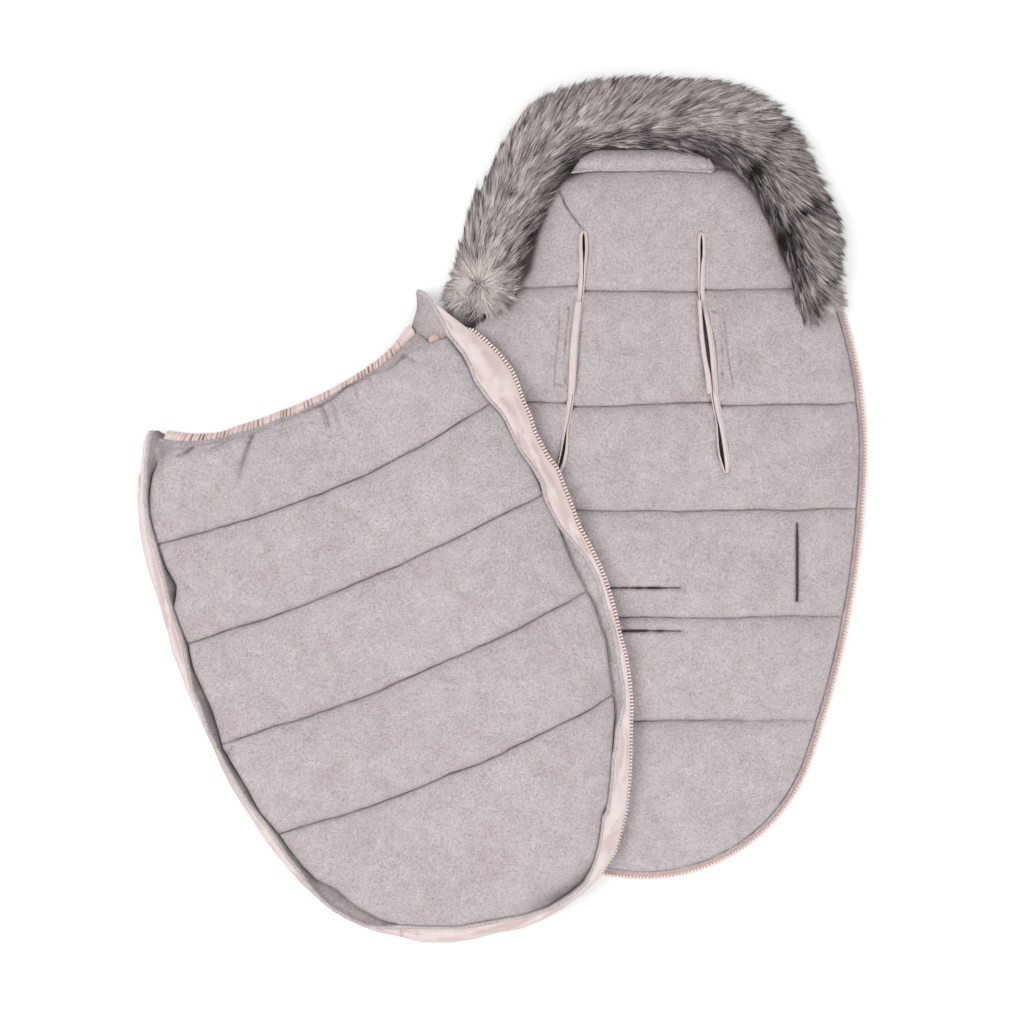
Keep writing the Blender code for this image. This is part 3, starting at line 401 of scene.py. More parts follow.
def slab(name, x, y, top, under, look, body):
    """A closed body between two grids of heights over the same points."""
    rows, columns = x.shape
    verts = np.concatenate([
        np.stack([x, y, top], -1).reshape(-1, 3), np.stack([x, y, under], -1).reshape(-1, 3)
    ])
    i, j = np.meshgrid(np.arange(rows - 1), np.arange(columns - 1), indexing="ij")
    a = (i * columns + j).ravel()
    up = np.stack([a, a + 1, a + columns + 1, a + columns], -1)
    rim = np.concatenate([
        np.arange(columns), np.arange(2, rows + 1) * columns - 1,
        np.arange(rows * columns - 2, (rows - 1) * columns - 1, -1),
        np.arange((rows - 2) * columns, 0, -columns),
    ])
    after = np.roll(rim, -1)
    count = rows * columns
    walls = np.stack([after, rim, rim + count, after + count], -1)
    quads = np.concatenate([up, up[:, ::-1] + count, walls])
    return quick_mesh(name, verts, quads, look, body)


def marks(length, step, start=True, end=True):
    """Distances from 0 to length, close together at a seam."""
    near = np.array([0.0, 0.45, 0.9, 1.4, 2.0, 2.8, 3.8, 5.2, 7.2]) * MM
    first = near if start else np.array([0.0])
    last = length - near[::-1] if end else np.array([length])
    count = max(2, int((last[0] - first[-1]) / step))
    middle = np.linspace(first[-1], last[0], count + 1)[1:-1]
    return np.concatenate([first, middle, last])


def row_y(row, x):
    """Height of points of a row, on the arc through its middle and both ends."""
    middle, side_x, side_y = row
    rise = side_y - middle
    if abs(rise) < 1e-7:
        return np.full(np.shape(x), side_y)
    radius = side_x / math.sin(2 * math.atan(rise / side_x))
    return middle + radius * (1 - np.sqrt(clamp(1 - (x / radius) ** 2)))


def row_list(oval, inset, seams, top, foot_y, corners, step, extra=()):
    """Rows from the top to the foot: (middle y, side x, side y)."""
    rows = []
    if corners[0] is not None:
        first = oval.angle_at(seams[0][1], inset)
        for run in marks(top - seams[0][0], step)[:-1] / (top - seams[0][0]):
            sx, sy = oval.point(corners[0] + (first - corners[0]) * run, inset)
            rows.append((top + (seams[0][0] - top) * run, float(sx), float(sy)))
    for upper, lower in zip(seams, seams[1:]):
        length = upper[0] - lower[0]
        runs = marks(length, step)
        for y, gap in extra:
            if lower[0] < y < upper[0]:
                at = upper[0] - y
                own = at + np.array([-5, -3.5, -2.4, -1.6, -1, 1, 1.6, 2.4, 3.5, 5]) * gap
                runs = np.concatenate([runs[(runs < own[0]) | (runs > own[-1])], own])
        for run in np.sort(runs)[:-1] / length:
            side_y = upper[1] + (lower[1] - upper[1]) * run
            rows.append(
                (
                    upper[0] + (lower[0] - upper[0]) * run,
                    oval.half_width(side_y, inset),
                    side_y,
                )
            )
    last = oval.angle_at(seams[-1][1], inset)
    for run in marks(seams[-1][0] - foot_y, step) / (seams[-1][0] - foot_y):
        sx, sy = oval.point(last + (corners[1] - last) * run, inset)
        rows.append((seams[-1][0] + (foot_y - seams[-1][0]) * run, float(sx), float(sy)))
    return rows


def grid_y(rows, x):
    return np.array([row_y(row, line) for row, line in zip(rows, x)])


# Materials


def wired(tree, kind, operation, *values):
    """A node of a tree whose inputs are outputs of other nodes or numbers."""
    made = tree.nodes.new(kind)
    made.operation = operation
    for k, value in enumerate(values):
        if isinstance(value, (int, float)):
            made.inputs[k].default_value = value
        else:
            tree.links.new(value, made.inputs[k])
    return made


class Look:
    """Node setup of one material."""

    def __init__(self, name, roughness=0.9, metallic=0.0, sheen=0.0):
        self.material = bpy.data.materials.new(name)
        self.material.use_nodes = True
        self.nodes = self.material.node_tree.nodes
        self.shader = self.nodes["Principled BSDF"]
        self.shader.inputs["Roughness"].default_value = roughness
        self.shader.inputs["Metallic"].default_value = metallic
        self.shader.inputs["Sheen Weight"].default_value = sheen
        self.shader.inputs["Sheen Roughness"].default_value = 0.5
        self.shader.inputs["Specular IOR Level"].default_value = 0.25
        self.where = self.nodes.new("ShaderNodeTexCoord").outputs["Object"]

    def link(self, output, target):
        self.material.node_tree.links.new(output, target)

    def noise(self, size, detail=3.0, rough=0.55, distort=0.0, stretch=None):
        """Noise whose features are about this many metres."""
        made = self.nodes.new("ShaderNodeTexNoise")
        made.inputs["Scale"].default_value = 1 / size
        made.inputs["Detail"].default_value = detail
        made.inputs["Roughness"].default_value = rough
        made.inputs["Distortion"].default_value = distort
        where = self.where
        if stretch is not None:
            turn = self.nodes.new("ShaderNodeMapping")
            turn.inputs["Scale"].default_value = stretch
            self.link(where, turn.inputs["Vector"])
            where = turn.outputs["Vector"]
        self.link(where, made.inputs["Vector"])
        return made.outputs["Fac"]

    def ramp(self, factor, *stops):
        """A colour ramp of (place, colour) stops."""
        made = self.nodes.new("ShaderNodeValToRGB")
        for k, (place, colour) in enumerate(stops):
            stop = made.color_ramp.elements[k] if k < 2 else made.color_ramp.elements.new(place)
            stop.position = place
            stop.color = (*colour, 1)
        self.link(factor, made.inputs["Fac"])
        return made.outputs["Color"]

    def maths(self, kind, a, b):
        return wired(self.material.node_tree, "ShaderNodeMath", kind, a, b).outputs[0]

    def mix(self, factor, a, b, kind="MIX"):
        made = self.nodes.new("ShaderNodeMix")
        made.data_type = "RGBA"
        made.blend_type = kind
        for socket, value in ((made.inputs[0], factor), (made.inputs[6], a), (made.inputs[7], b)):
            if isinstance(value, (int, float)):
                socket.default_value = value
            elif isinstance(value, tuple):
                socket.default_value = (*value, 1)
            else:
                self.link(value, socket)
        return made.outputs[2]

    def attribute(self, name):
        made = self.nodes.new("ShaderNodeAttribute")
        made.attribute_name = name
        return made.outputs["Fac"]

    def wave(self, period, direction):
        made = self.nodes.new("ShaderNodeTexWave")
        made.bands_direction = direction
        made.inputs["Scale"].default_value = 0.314 / period
        made.inputs["Distortion"].default_value = 0.6
        self.link(self.where, made.inputs["Vector"])
        return made.outputs["Fac"]

    def finish(self, colour, height=None, distance=0.3 * MM, strength=0.6):
        self.link(colour, self.shader.inputs["Base Color"])
        if height is not None:
            made = self.nodes.new("ShaderNodeBump")
            made.inputs["Distance"].default_value = distance
            made.inputs["Strength"].default_value = strength
            self.link(height, made.inputs["Height"])
            self.link(made.outputs["Normal"], self.shader.inputs["Normal"])
        return self.material


def tint(colour, share):
    return tuple(c * share for c in colour)


def plush_look(name, colour, shade=1.0):
    """Short dense pile, mottled where it lies this way and that."""
    look = Look(name, roughness=1.0, sheen=0.25)
    look.shader.inputs["Specular IOR Level"].default_value = 0.05
    pile = look.noise(2.3 * MM, detail=4.0, rough=0.68, distort=0.5)
    curl = look.noise(5.2 * MM, detail=3.0, rough=0.6, distort=1.8)
    patches = look.noise(0.034, detail=3.0, rough=0.6, distort=1.0)
    fleck = look.ramp(
        pile, (0.34, tint(colour, 0.74 * shade)), (0.46, tint(colour, 0.95 * shade)),
        (0.56, tint(colour, 1.06 * shade)), (0.70, tint(colour, 1.15 * shade))
    )
    lay = look.ramp(curl, (0.36, (0.895, 0.885, 0.88)), (0.60, (1.05, 1.05, 1.05)))
    cloud = look.ramp(patches, (0.35, (0.93, 0.915, 0.905)), (0.65, (1.04, 1.045, 1.055)))
    warm = look.ramp(
        look.maths("MULTIPLY", pile, look.maths("ADD", patches, 0.5)),
        (0.30, (0.93, 0.89, 0.86)), (0.42, (1.0, 1.0, 1.0))
    )
    both = look.mix(1.0, look.mix(1.0, fleck, lay, "MULTIPLY"), cloud, "MULTIPLY")
    both = look.mix(0.8, both, look.mix(1.0, both, warm, "MULTIPLY"))
    # Painted shade: the pile's colour goes toward near black as far as each vertex's attribute
    # asks.
    painted_shade = look.mix(look.attribute("painted_shade"), both, (0.082, 0.050, 0.054))
    height = look.maths("ADD", pile, look.maths("MULTIPLY", curl, 1.2))
    return look.finish(painted_shade, height, distance=1.9 * MM, strength=0.75)


def fabric_look(name, colour, weave=0.55 * MM, roughness=0.75, fold=None):
    """Plain tightly woven cloth with faint creases."""
    look = Look(name, roughness=roughness, sheen=0.15)
    threads = look.maths("MULTIPLY", look.wave(weave, "X"), look.wave(weave, "Y"))
    soft = look.noise(0.012, detail=4.0, rough=0.6)
    base = look.ramp(soft, (0.3, tint(colour, 0.93)), (0.7, tint(colour, 1.04)))
    woven = look.mix(
        0.5, base, look.ramp(threads, (0.0, tint(colour, 0.88)), (0.6, colour)), "MIX"
    )
    # Painted shade: the cloth's colour goes toward fold, the colour of its painted shade, as far
    # as each vertex's attribute asks.
    painted_shade = look.mix(look.attribute("painted_shade"), woven, fold or tint(colour, 0.3))
    height = look.maths("ADD", look.maths("MULTIPLY", threads, 0.25), soft)
    return look.finish(painted_shade, height, distance=0.35 * MM, strength=0.5)


def tape_look(name, colour):
    """Ribbed woven zip tape."""
    look = Look(name, roughness=0.8, sheen=0.1)
    ribs = look.noise(0.9 * MM, detail=1.0)
    base = look.ramp(ribs, (0.3, tint(colour, 0.72)), (0.7, tint(colour, 1.12)))
    return look.finish(base, ribs, distance=0.3 * MM)


def metal_look(name, colour, roughness=0.3, metallic=0.85):
    look = Look(name, roughness=roughness, metallic=metallic)
    look.shader.inputs["Specular IOR Level"].default_value = 0.6
    worn = look.noise(2.4 * MM, detail=3.0)
    base = look.ramp(worn, (0.3, tint(colour, 0.86)), (0.7, tint(colour, 1.08)))
    return look.finish(base, worn, distance=0.08 * MM, strength=0.3)


def hair_look(name):
    """Guard hairs: darker at the root and the tip, each with its own shade."""
    look = Look(name, roughness=0.7)
    look.shader.inputs["Specular IOR Level"].default_value = 0.12
    along = look.attribute("tone")
    colour = look.ramp(
        along, (0.0, (0.014, 0.012, 0.016)), (0.3, (0.105, 0.088, 0.090)),
        (0.6, (0.43, 0.375, 0.365)), (0.85, (0.74, 0.665, 0.645)), (1.0, (0.90, 0.83, 0.81)),
    )
    fine = look.noise(1.1 * MM, detail=2.0)
    shade = look.ramp(fine, (0.2, (0.9, 0.9, 0.9)), (0.8, (1.08, 1.07, 1.06)))
    return look.finish(look.mix(1.0, colour, shade, "MULTIPLY"))


def plain_look(name, colour, grain=3 * MM, roughness=0.9):
    look = Look(name, roughness=roughness)
    soft = look.noise(grain, detail=3.0)
    base = look.ramp(soft, (0.3, tint(colour, 0.92)), (0.7, tint(colour, 1.05)))
    return look.finish(base, soft, distance=0.2 * MM)


PINK = (0.79, 0.665, 0.645)
PLUSH = (0.634, 0.566, 0.587)
LOOKS = {
    "plush": plush_look("plush_lining", PLUSH),
    "cover_plush": plush_look("cover_plush_lining", (0.628, 0.557, 0.578)),
    # The lip's plush is the lining's plush painted lighter, as painted light on the rolled lip.
    "lip": plush_look("plush_lip_painted_lighter", (0.70, 0.63, 0.635)),
    "pink": fabric_look("shell_fabric", PINK),
    # fold sets the colour of each cloth's painted shade in its creases.
    "gusset": fabric_look("gusset_fabric", (0.86, 0.735, 0.725), fold=(0.40, 0.22, 0.18)),
    "binding": fabric_look(
        "binding_fabric", (0.82, 0.70, 0.69), weave=0.4 * MM, fold=(0.10, 0.055, 0.05)
    ),
    "casing": fabric_look(
        "casing_fabric", (0.86, 0.70, 0.675), weave=0.4 * MM, fold=(0.36, 0.17, 0.13)
    ),
    "tape": tape_look("zip_tape_weave", (0.58, 0.27, 0.20)),
    "tape_pale": tape_look("zip_tape_pale", (0.74, 0.52, 0.47)),
    "teeth": metal_look("rose_gold_teeth", (1.0, 0.89, 0.85), roughness=0.35, metallic=0.08),
    "metal": metal_look("rose_gold", (0.78, 0.45, 0.34), roughness=0.25, metallic=0.9),
    "cap": plain_look("cap_enamel", (0.82, 0.56, 0.45), roughness=0.4),
    "hair": hair_look("fur_hair"),
    "pelt": plain_look("fur_undercoat", (0.11, 0.095, 0.095), grain=1.5 * MM),
    "elastic": plain_look("elastic_band", (0.8, 0.8, 0.8), grain=1.2 * MM),
    "loop": plain_look("loop_tape", (0.5, 0.44, 0.45), grain=0.8 * MM),
}


def set_values(made, name, values):
    layer = made.data.attributes.new(name, "FLOAT", "POINT")
    layer.data.foreach_set("value", np.asarray(values, np.float32))


def set_painted_shade(made, values):
    """How much painted shade darkens each vertex's colour, from 0 to 1."""
    set_values(made, "painted_shade", values)


# The back section's lining


# Rows of the slots' edges in the photograph: height, then the outer edge of the left lip, the
# two edges of the gap and the outer edge of the right lip.
LIPS_LEFT = (
    (231, 580.5, 584, 584.4, 587.5), (235, 579.2, 582.9, 585.2, 588),
    (245, 579, 582.8, 585.6, 588.1), (253, 579.4, 583.3, 585.3, 587.8),
    (262, 579.5, 583.7, 584.6, 587), (275, 579.4, 583.6, 584.2, 586.2),
    (290, 577.6, 583, 583.5, 585), (300, 576, 581.5, 582, 583.6),
    (320, 573.5, 579.3, 579.8, 581.4), (335, 571.6, 577.3, 577.8, 579.6),
    (355, 569.8, 575.8, 576.3, 578.2), (375, 569, 574.8, 575.3, 577),
    (395, 568.2, 573, 573.4, 575), (405, 567, 571.4, 571.8, 573.4),
    (415, 565.7, 569.8, 570.2, 571.9), (425, 564.3, 567.6, 568, 569.6),
    (430, 563.6, 566.3, 567, 569.1), (440, 562.3, 564.2, 566.4, 568.8),
    (450, 560.8, 562.3, 565.4, 568.4), (460, 558.6, 560.1, 563.3, 567),
    (466, 557.2, 558.6, 561, 565.3), (471, 557.8, 559, 559.6, 562.5),
)
LIPS_RIGHT = (
    (233, 699.5, 702.3, 702.7, 706.2), (238, 698.5, 701.6, 703.5, 707),
    (245, 698.4, 701.4, 703.8, 707.2), (255, 698.5, 701.4, 703.6, 707),
    (262, 698.7, 701.5, 702.5, 706.6), (275, 698.9, 701, 701.5, 706),
    (290, 699.4, 700.9, 701.4, 706.3), (300, 700.4, 701.6, 702.5, 707.3),
    (310, 700.8, 702.6, 704.4, 708.8), (325, 701.6, 703.4, 707.3, 712.4),
    (340, 702.4, 704.6, 709.6, 715), (355, 703.6, 706.2, 711.2, 716.8),
    (370, 706, 708.6, 712.2, 718), (383, 709.6, 711.8, 713.3, 719.2),
    (395, 712, 713.6, 714.2, 720), (405, 713.8, 715.4, 716.1, 722.2),
    (415, 716.2, 717.3, 717.9, 724.2), (425, 717.2, 718.9, 720.4, 726),
    (435, 717.6, 719.5, 722.3, 727.2), (445, 718.4, 720, 723.8, 728.8),
    (455, 719.4, 721.4, 725.3, 730.5), (465, 722.2, 724.4, 726.3, 731.2),
    (471, 724.5, 726.2, 726.8, 730.5),
)
LIP_Z = 0.0265


def slot_lines(lips, y):
    """x of the lines of such a table at these heights, which run straight on past its ends."""
    table = np.array(lips, float)
    _, level = to_plane(PHOTO_ORIGIN[0], table[:, 0], LIP_Z)
    return [
        np.interp(-np.asarray(y, float), -level, to_plane(column, table[:, 0], LIP_Z)[0])
        for column in table.T[1:]
    ]


def slot_hole(lips, y):
    """x of the edges of a slot's hole in the lining, hidden under the binding."""
    start, end = slot_ends(lips)
    _, left, right, _ = slot_lines(lips, y)
    within = smooth((start - y) / 0.006) * smooth((y - end) / 0.006)
    more = 0.15 * MM + 0.9 * MM * within
    middle = (left + right) / 2
    half = (right - left) / 2 * within
    return middle - half - more, middle + half + more


def slot_ends(lips):
    return to_plane(PHOTO_ORIGIN[0], np.array([lips[0][0], lips[-1][0]], float), LIP_Z)[1]


PATCH_COLUMNS = np.linspace(18.6, 26.0, 10) * MM


def spread_columns(row_end, y):
    """x of every column of a row: dense at its ends, its slots and the hip slits."""
    hip = min(HIP_X, 0.74 * row_end)
    limit = 0.42 * row_end
    left, right = slot_hole(LIPS_LEFT, y), slot_hole(LIPS_RIGHT, y)
    push = max(0.0, -limit - float(left[0]))
    left = [float(x) + push for x in left]
    push = max(0.0, float(right[1]) - limit)
    right = [float(x) - push for x in right]
    edge = np.array([0, 0.7, 1.4, 2.2, 3.0, 3.7, 4.2, 4.7, 5.3, 6.2, 7.5, 9.5, 12]) * MM
    slit = np.array([-7, -4.6, -2.9, -1.7, -HIP_SLIT, HIP_SLIT, 1.7, 2.9, 4.6, 7]) * MM
    near = np.array([0.0, 0.8, 1.7, 2.7, 3.9, 5.4, 7.4, 10.0]) * MM
    runs = [-row_end + edge]

    def fill(first, last, count):
        runs.append(np.linspace(first, last, count + 1)[1:-1])

    fill(-row_end + edge[-1], -hip + slit[0], 20)
    runs.append(-hip + slit)
    tight = clamp((left[0] + hip - slit[-1]) / (38 * MM))
    runs_left = left[0] - PATCH_COLUMNS * tight
    fill(-hip + slit[-1], runs_left[-1], 17)
    runs.append(runs_left[::-1])
    fill(runs_left[0], left[0] - near[-1] * tight, 4)
    runs.append(left[0] - near[::-1] * tight)
    runs.append(left[1] + near)
    fill(left[1] + near[-1], right[0] - near[-1], 46)
    runs.append(right[0] - near[::-1])
    tight = clamp((hip - slit[-1] - right[1]) / (38 * MM))
    runs_right = right[1] + PATCH_COLUMNS * tight
    runs.append(right[1] + near * tight)
    fill(right[1] + near[-1] * tight, runs_right[0], 4)
    runs.append(runs_right)
    fill(runs_right[-1], hip - slit[-1], 17)
    runs.append(hip - slit[::-1])
    fill(hip - slit[0], row_end - edge[-1], 20)
    runs.append(row_end - edge[::-1])
    return np.concatenate(runs)


COLUMN_HOLES = {"hip_left": 13 + 19 + 4, "slot_left": 13 + 19 + 10 + 16 + 10 + 3 + 7}
COLUMN_HOLES["slot_right"] = COLUMN_HOLES["slot_left"] + 1 + 8 + 45 + 7
COLUMN_HOLES["hip_right"] = COLUMN_HOLES["slot_right"] + 1 + 8 + 3 + 10 + 16 + 4


def seam_wobble(x, seed, size):
    return size * noise(x, 0.0, 0.045, seed) + 0.35 * size * noise(x, 0.0, 0.013, seed + 1)


def back_grid(inset, step):
    """A grid of points over the back section, and each row's height on the centreline."""
    seams = [(y, y + BACK_SEAM_SAG) for y in BACK_SEAM_Y]
    top, foot = (float(BACK.point(degrees, inset)[1]) for degrees in (90.0, -90.0))
    extra = [(y, SLIT_HALF) for y in CROTCH_Y]
    rows = row_list(BACK, inset, seams, top, foot, BACK_CORNERS_DEG, step, extra)
    x = np.array([spread_columns(row[1], row[0]) for row in rows])
    y = grid_y(rows, x)
    return x, y, np.array([row[0] for row in rows])


def kept_cells(x, height):
    """The cells of the grid that stay when the slots and slits are cut."""
    keep = np.ones((len(x) - 1, x.shape[1] - 1), bool)
    hip = (height > HIP_Y[0]) & (height < HIP_Y[1])
    opened = {"hip_left": hip, "hip_right": hip}
    for name, lips in (("slot_left", LIPS_LEFT), ("slot_right", LIPS_RIGHT)):
        start, end = slot_ends(lips)
        opened[name] = (height < start) & (height > end)
    for name, rows in opened.items():
        keep[rows[:-1] & rows[1:], COLUMN_HOLES[name]] = False
    middle = (np.abs(x[:, :-1]) < CROTCH_X) & (np.abs(x[:, 1:]) < CROTCH_X)
    for level in CROTCH_Y:
        inside = np.abs(height[:-1] - level) < 1.1 * SLIT_HALF
        inside &= np.abs(height[1:] - level) < 1.1 * SLIT_HALF
        keep[inside[:, None] & middle[:-1]] = False
    return keep


def back_lining():
    """Lining and wadding of the back section, with its channels, slits and slots."""
    x, y, height = back_grid(EDGE, 2.9 * MM)
    depth = BACK.depth(x, y)
    pillow, nearest = back_shape(x, y, depth)
    inward = smooth((depth - 0.010) / 0.03)
    pillow += inward * (1.1 * MM * layers(x, y, 0.075, 11) + 0.45 * MM * layers(x, y, 0.02, 15))
    pucker = layers(x, y * 0.25, 0.009, 21)
    pillow += 0.45 * MM * pucker * bump(nearest - 4 * MM, 5 * MM) * inward
    groove = bump(nearest, 0.95 * MM) * (1.0 + 0.25 * pucker)
    pillow -= 1.4 * MM * groove + 1.6 * MM * bump(nearest, 4.6 * MM)
    # Painted shade along the seams' grooves, uneven along their length.
    uneven = clamp(0.62 + 0.5 * layers(x, y * 0.1, 0.016, 27))
    painted_shade = 0.72 * SEAM_PAINTED_SHADE * uneven * bump(nearest, 0.8 * MM)

    crease = plane_line(
        (552, 181), (556.4, 187.5), (562.5, 195), (565.2, 204), (570.7, 212), (577.3, 220.5),
        (584, 229.5),
    )
    away, side, along = from_line(x, y, crease)
    fade = smooth(along * 8) * smooth((1 - along) * 9)
    pillow -= 2.2 * MM * bump(away - 0.6 * MM, 1.3 * MM) * (side > 0) * fade
    pillow += 1.8 * MM * bump(away, 6 * MM) * (side < 0) * fade
    # Painted shade along the crease's fold.
    painted_shade = np.maximum(painted_shade, 0.75 * bump(away, 0.75 * MM) * fade)
    away = np.hypot(x - 0.134, y - 0.449)
    pillow -= 0.8 * MM * bump(away, 9 * MM)

    for lips in (LIPS_LEFT, LIPS_RIGHT):
        first, last = slot_hole(lips, height)
        off = np.maximum(first[:, None] - x, x - last[:, None])
        start, end = slot_ends(lips)
        near = ((height < start + 0.004) & (height > end - 0.004))[:, None]
        pillow -= 1.9 * MM * bump(np.maximum(off, 0), 5 * MM) * near
        gather = layers(x * 0.3, y, 0.011, 31)
        pillow += 0.7 * MM * gather * bump(off - 6 * MM, 5 * MM) * near
        # Painted shade at the edges of the slots' holes.
        painted_shade = np.maximum(painted_shade, 0.9 * smooth(1 - off / (0.8 * MM)) * near)
    ends = smooth((np.abs(x) - CROTCH_X - 1 * MM) / (2 * MM))
    for level in CROTCH_Y:
        away = np.abs(height - level)[:, None] - SLIT_HALF
        inside = bump(np.maximum(away, 0), 2.4 * MM) * (1 - ends)
        pillow -= 2.2 * MM * inside
        pillow += 0.7 * MM * bump(away - 5 * MM, 4 * MM) * (1 - ends)
        # Painted shade inside the crotch slits, weaker toward their right ends, and a short mark
        # down from each slit's right end.
        ragged = clamp(0.85 + 0.6 * layers(x, 0 * x + level, 0.006, 33)) * (1 - ends)
        ragged = ragged * (1 - 0.72 * smooth((x - 0.017) / 0.010))
        painted_shade = np.maximum(painted_shade, ragged * bump(np.maximum(away, 0), 1.5 * MM))
        tick = np.abs(height[:, None] - level + 3.5 * MM) - 3.5 * MM
        tick = bump(np.maximum(tick, 0), 0.8 * MM) * bump(x - CROTCH_X, 1.3 * MM)
        painted_shade = np.maximum(painted_shade, 0.4 * tick)
    for sign in (-1, 1):
        away = np.abs(x - sign * HIP_X) - HIP_SLIT * MM
        inside = ((height > HIP_Y[0]) & (height < HIP_Y[1]))[:, None]
        pillow -= 2.0 * MM * bump(np.maximum(away, 0), 2.2 * MM) * inside
        # Painted shade inside the hip slits, wider lower down, and a faint painted shade to the
        # right of each.
        wide = (0.5 + 1.5 * smooth((HIP_Y[1] - height) / 0.02))[:, None] * MM
        painted_shade = np.maximum(painted_shade, 0.95 * bump(np.maximum(away, 0), wide) * inside)
        painted_shade = np.maximum(painted_shade, 0.13 * bump(np.maximum(away, 0), 9 * MM) * inside
                             * (x > sign * HIP_X))

    for corners in PATCH_LINES:
        away, _, _ = from_line(x, y, plane_line(*corners))
        pillow -= 0.9 * MM * bump(away, 1.1 * MM)
        # Painted shade along the loop patches' outlines under the lining.
        broken = 0.8 + 0.5 * layers(x, y, 0.005, 29)
        painted_shade = np.maximum(painted_shade, 0.5 * bump(away, 0.8 * MM) * broken)

    lip = 5.3 * MM + 2.3 * MM * np.sqrt(clamp(1 - ((depth - 9.2 * MM) / (2.4 * MM)) ** 2))
    lip += 0.25 * MM * noise(x, y, 0.008, 41)
    rise = smooth((depth - 10.8 * MM) / (1.5 * MM))
    z = lip * (1 - rise) + pillow * rise - 1.5 * MM * bump(depth - 11.4 * MM, 0.8 * MM)
    # Painted shade in the dip where the lining's rim meets its pillows.
    broken = clamp(0.5 + 0.8 * layers(x, y, 0.030, 43))
    painted_shade = np.maximum(painted_shade * inward, 0.42 * broken * bump(depth - 11.4 * MM, 0.7 * MM))

    # Painted shadow of the fur on the lining along its inner edge.
    away = from_line(x, y, plane_line(*FUR_EDGE, z=0.03))
    out = np.where(away[1] * FUR_EDGE_SIDE > 0, 0.0, away[0])
    shaded = 0.85 * bump(out, 6 * MM) + 0.22 * bump(out, 22 * MM)
    painted_shade = np.maximum(painted_shade, clamp(shaded) * inward)

    # The seams wander a little, and their rows go with them.
    shift = np.zeros_like(y)
    for k, seam in enumerate(BACK_SEAM_Y):
        weight = bump(height - seam, 0.016)[:, None]
        shift += weight * seam_wobble(x, 50 + 3 * k, 1.3 * MM)
        if seam in SEAM_STEPS:
            places = [-BACK_HALF]
            for lips in (LIPS_LEFT, LIPS_RIGHT):
                first, last = slot_hole(lips, seam)
                places.extend(((first + last) / 2 - 0.1 * MM, (first + last) / 2 + 0.1 * MM))
            shift += weight * np.interp(x, [*places, BACK_HALF], SEAM_STEPS[seam]) * MM
    y = y + shift * inward

    keep = kept_cells(x, height)
    made = panel(
        "back_plush_lining", x, y, z, keep, lambda a, b: np.full(a.shape, 2.0 * MM),
        LOOKS["plush"], "back_section",
    )
    used = np.zeros(x.shape, bool)
    used[:-1, :-1] |= keep
    used[1:, :-1] |= keep
    used[:-1, 1:] |= keep
    used[1:, 1:] |= keep
    values = np.zeros(len(made.data.vertices))
    values[: used.sum()] = painted_shade[used]
    set_painted_shade(made, values)
    names = ("brim", "hood", "shoulders_left", "shoulders_middle", "shoulders_right", "chest")
    names += ("seat", "legs", "foot")
    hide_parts("back_lining", *(f"back_wadding_{name}" for name in names))


# The fur's inner edge in the photograph, from its left end to its right
FUR_EDGE = (
    (498, 306), (516, 290), (528, 268), (535, 235), (545, 205), (560, 178), (590, 163),
    (620, 155), (660, 152), (700, 154), (735, 165), (758, 190), (775, 220), (786, 255), (800, 280),
    (822, 300),
)
FUR_EDGE_SIDE = 1
PATCH_LINES = (
    ((714, 311), (724, 308.5), (726, 322), (728, 345), (731, 365), (734.5, 385)),
    ((721, 311), (723, 330), (723.5, 350), (723.5, 387)),
    ((559, 306), (559.6, 318), (559.5, 327), (557.5, 345), (555.5, 362), (554.5, 383)),
    ((559, 306), (567, 308), (573, 307)),
    ((554.5, 384), (560, 385), (567, 383)),
    ((569.5, 308), (567, 325), (565.5, 345), (564.8, 382)),
)


def back_shell():
    """Outer fabric of the back section, under the lining, cut where the harness goes through."""
    x, y, height = back_grid(EDGE_INSET, 7 * MM)
    depth = BACK.depth(x, y)
    share = 1 - clamp((depth - EDGE_INSET) / 0.012)
    z = 2.6 * MM * share**2 + 1.1 * MM + 0.12 * MM * noise(x, y, 0.02, 61)
    for seam in BACK_SEAM_Y:
        z += 0.5 * MM * bump(height - seam, 2.5 * MM)[:, None] * (1 - share)

    def under(a, b):
        share = 1 - clamp((BACK.depth(a, b) - EDGE_INSET) / 0.012)
        return 2.6 * MM * share**2 + 0.4 * MM

    made = panel(
        "back_shell_fabric", x, y, z, kept_cells(x, height), under, LOOKS["pink"], "back_section"
    )
    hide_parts("back_outer_shell")


# Shoulder slots

SIDES = {1: "right", -1: "left"}


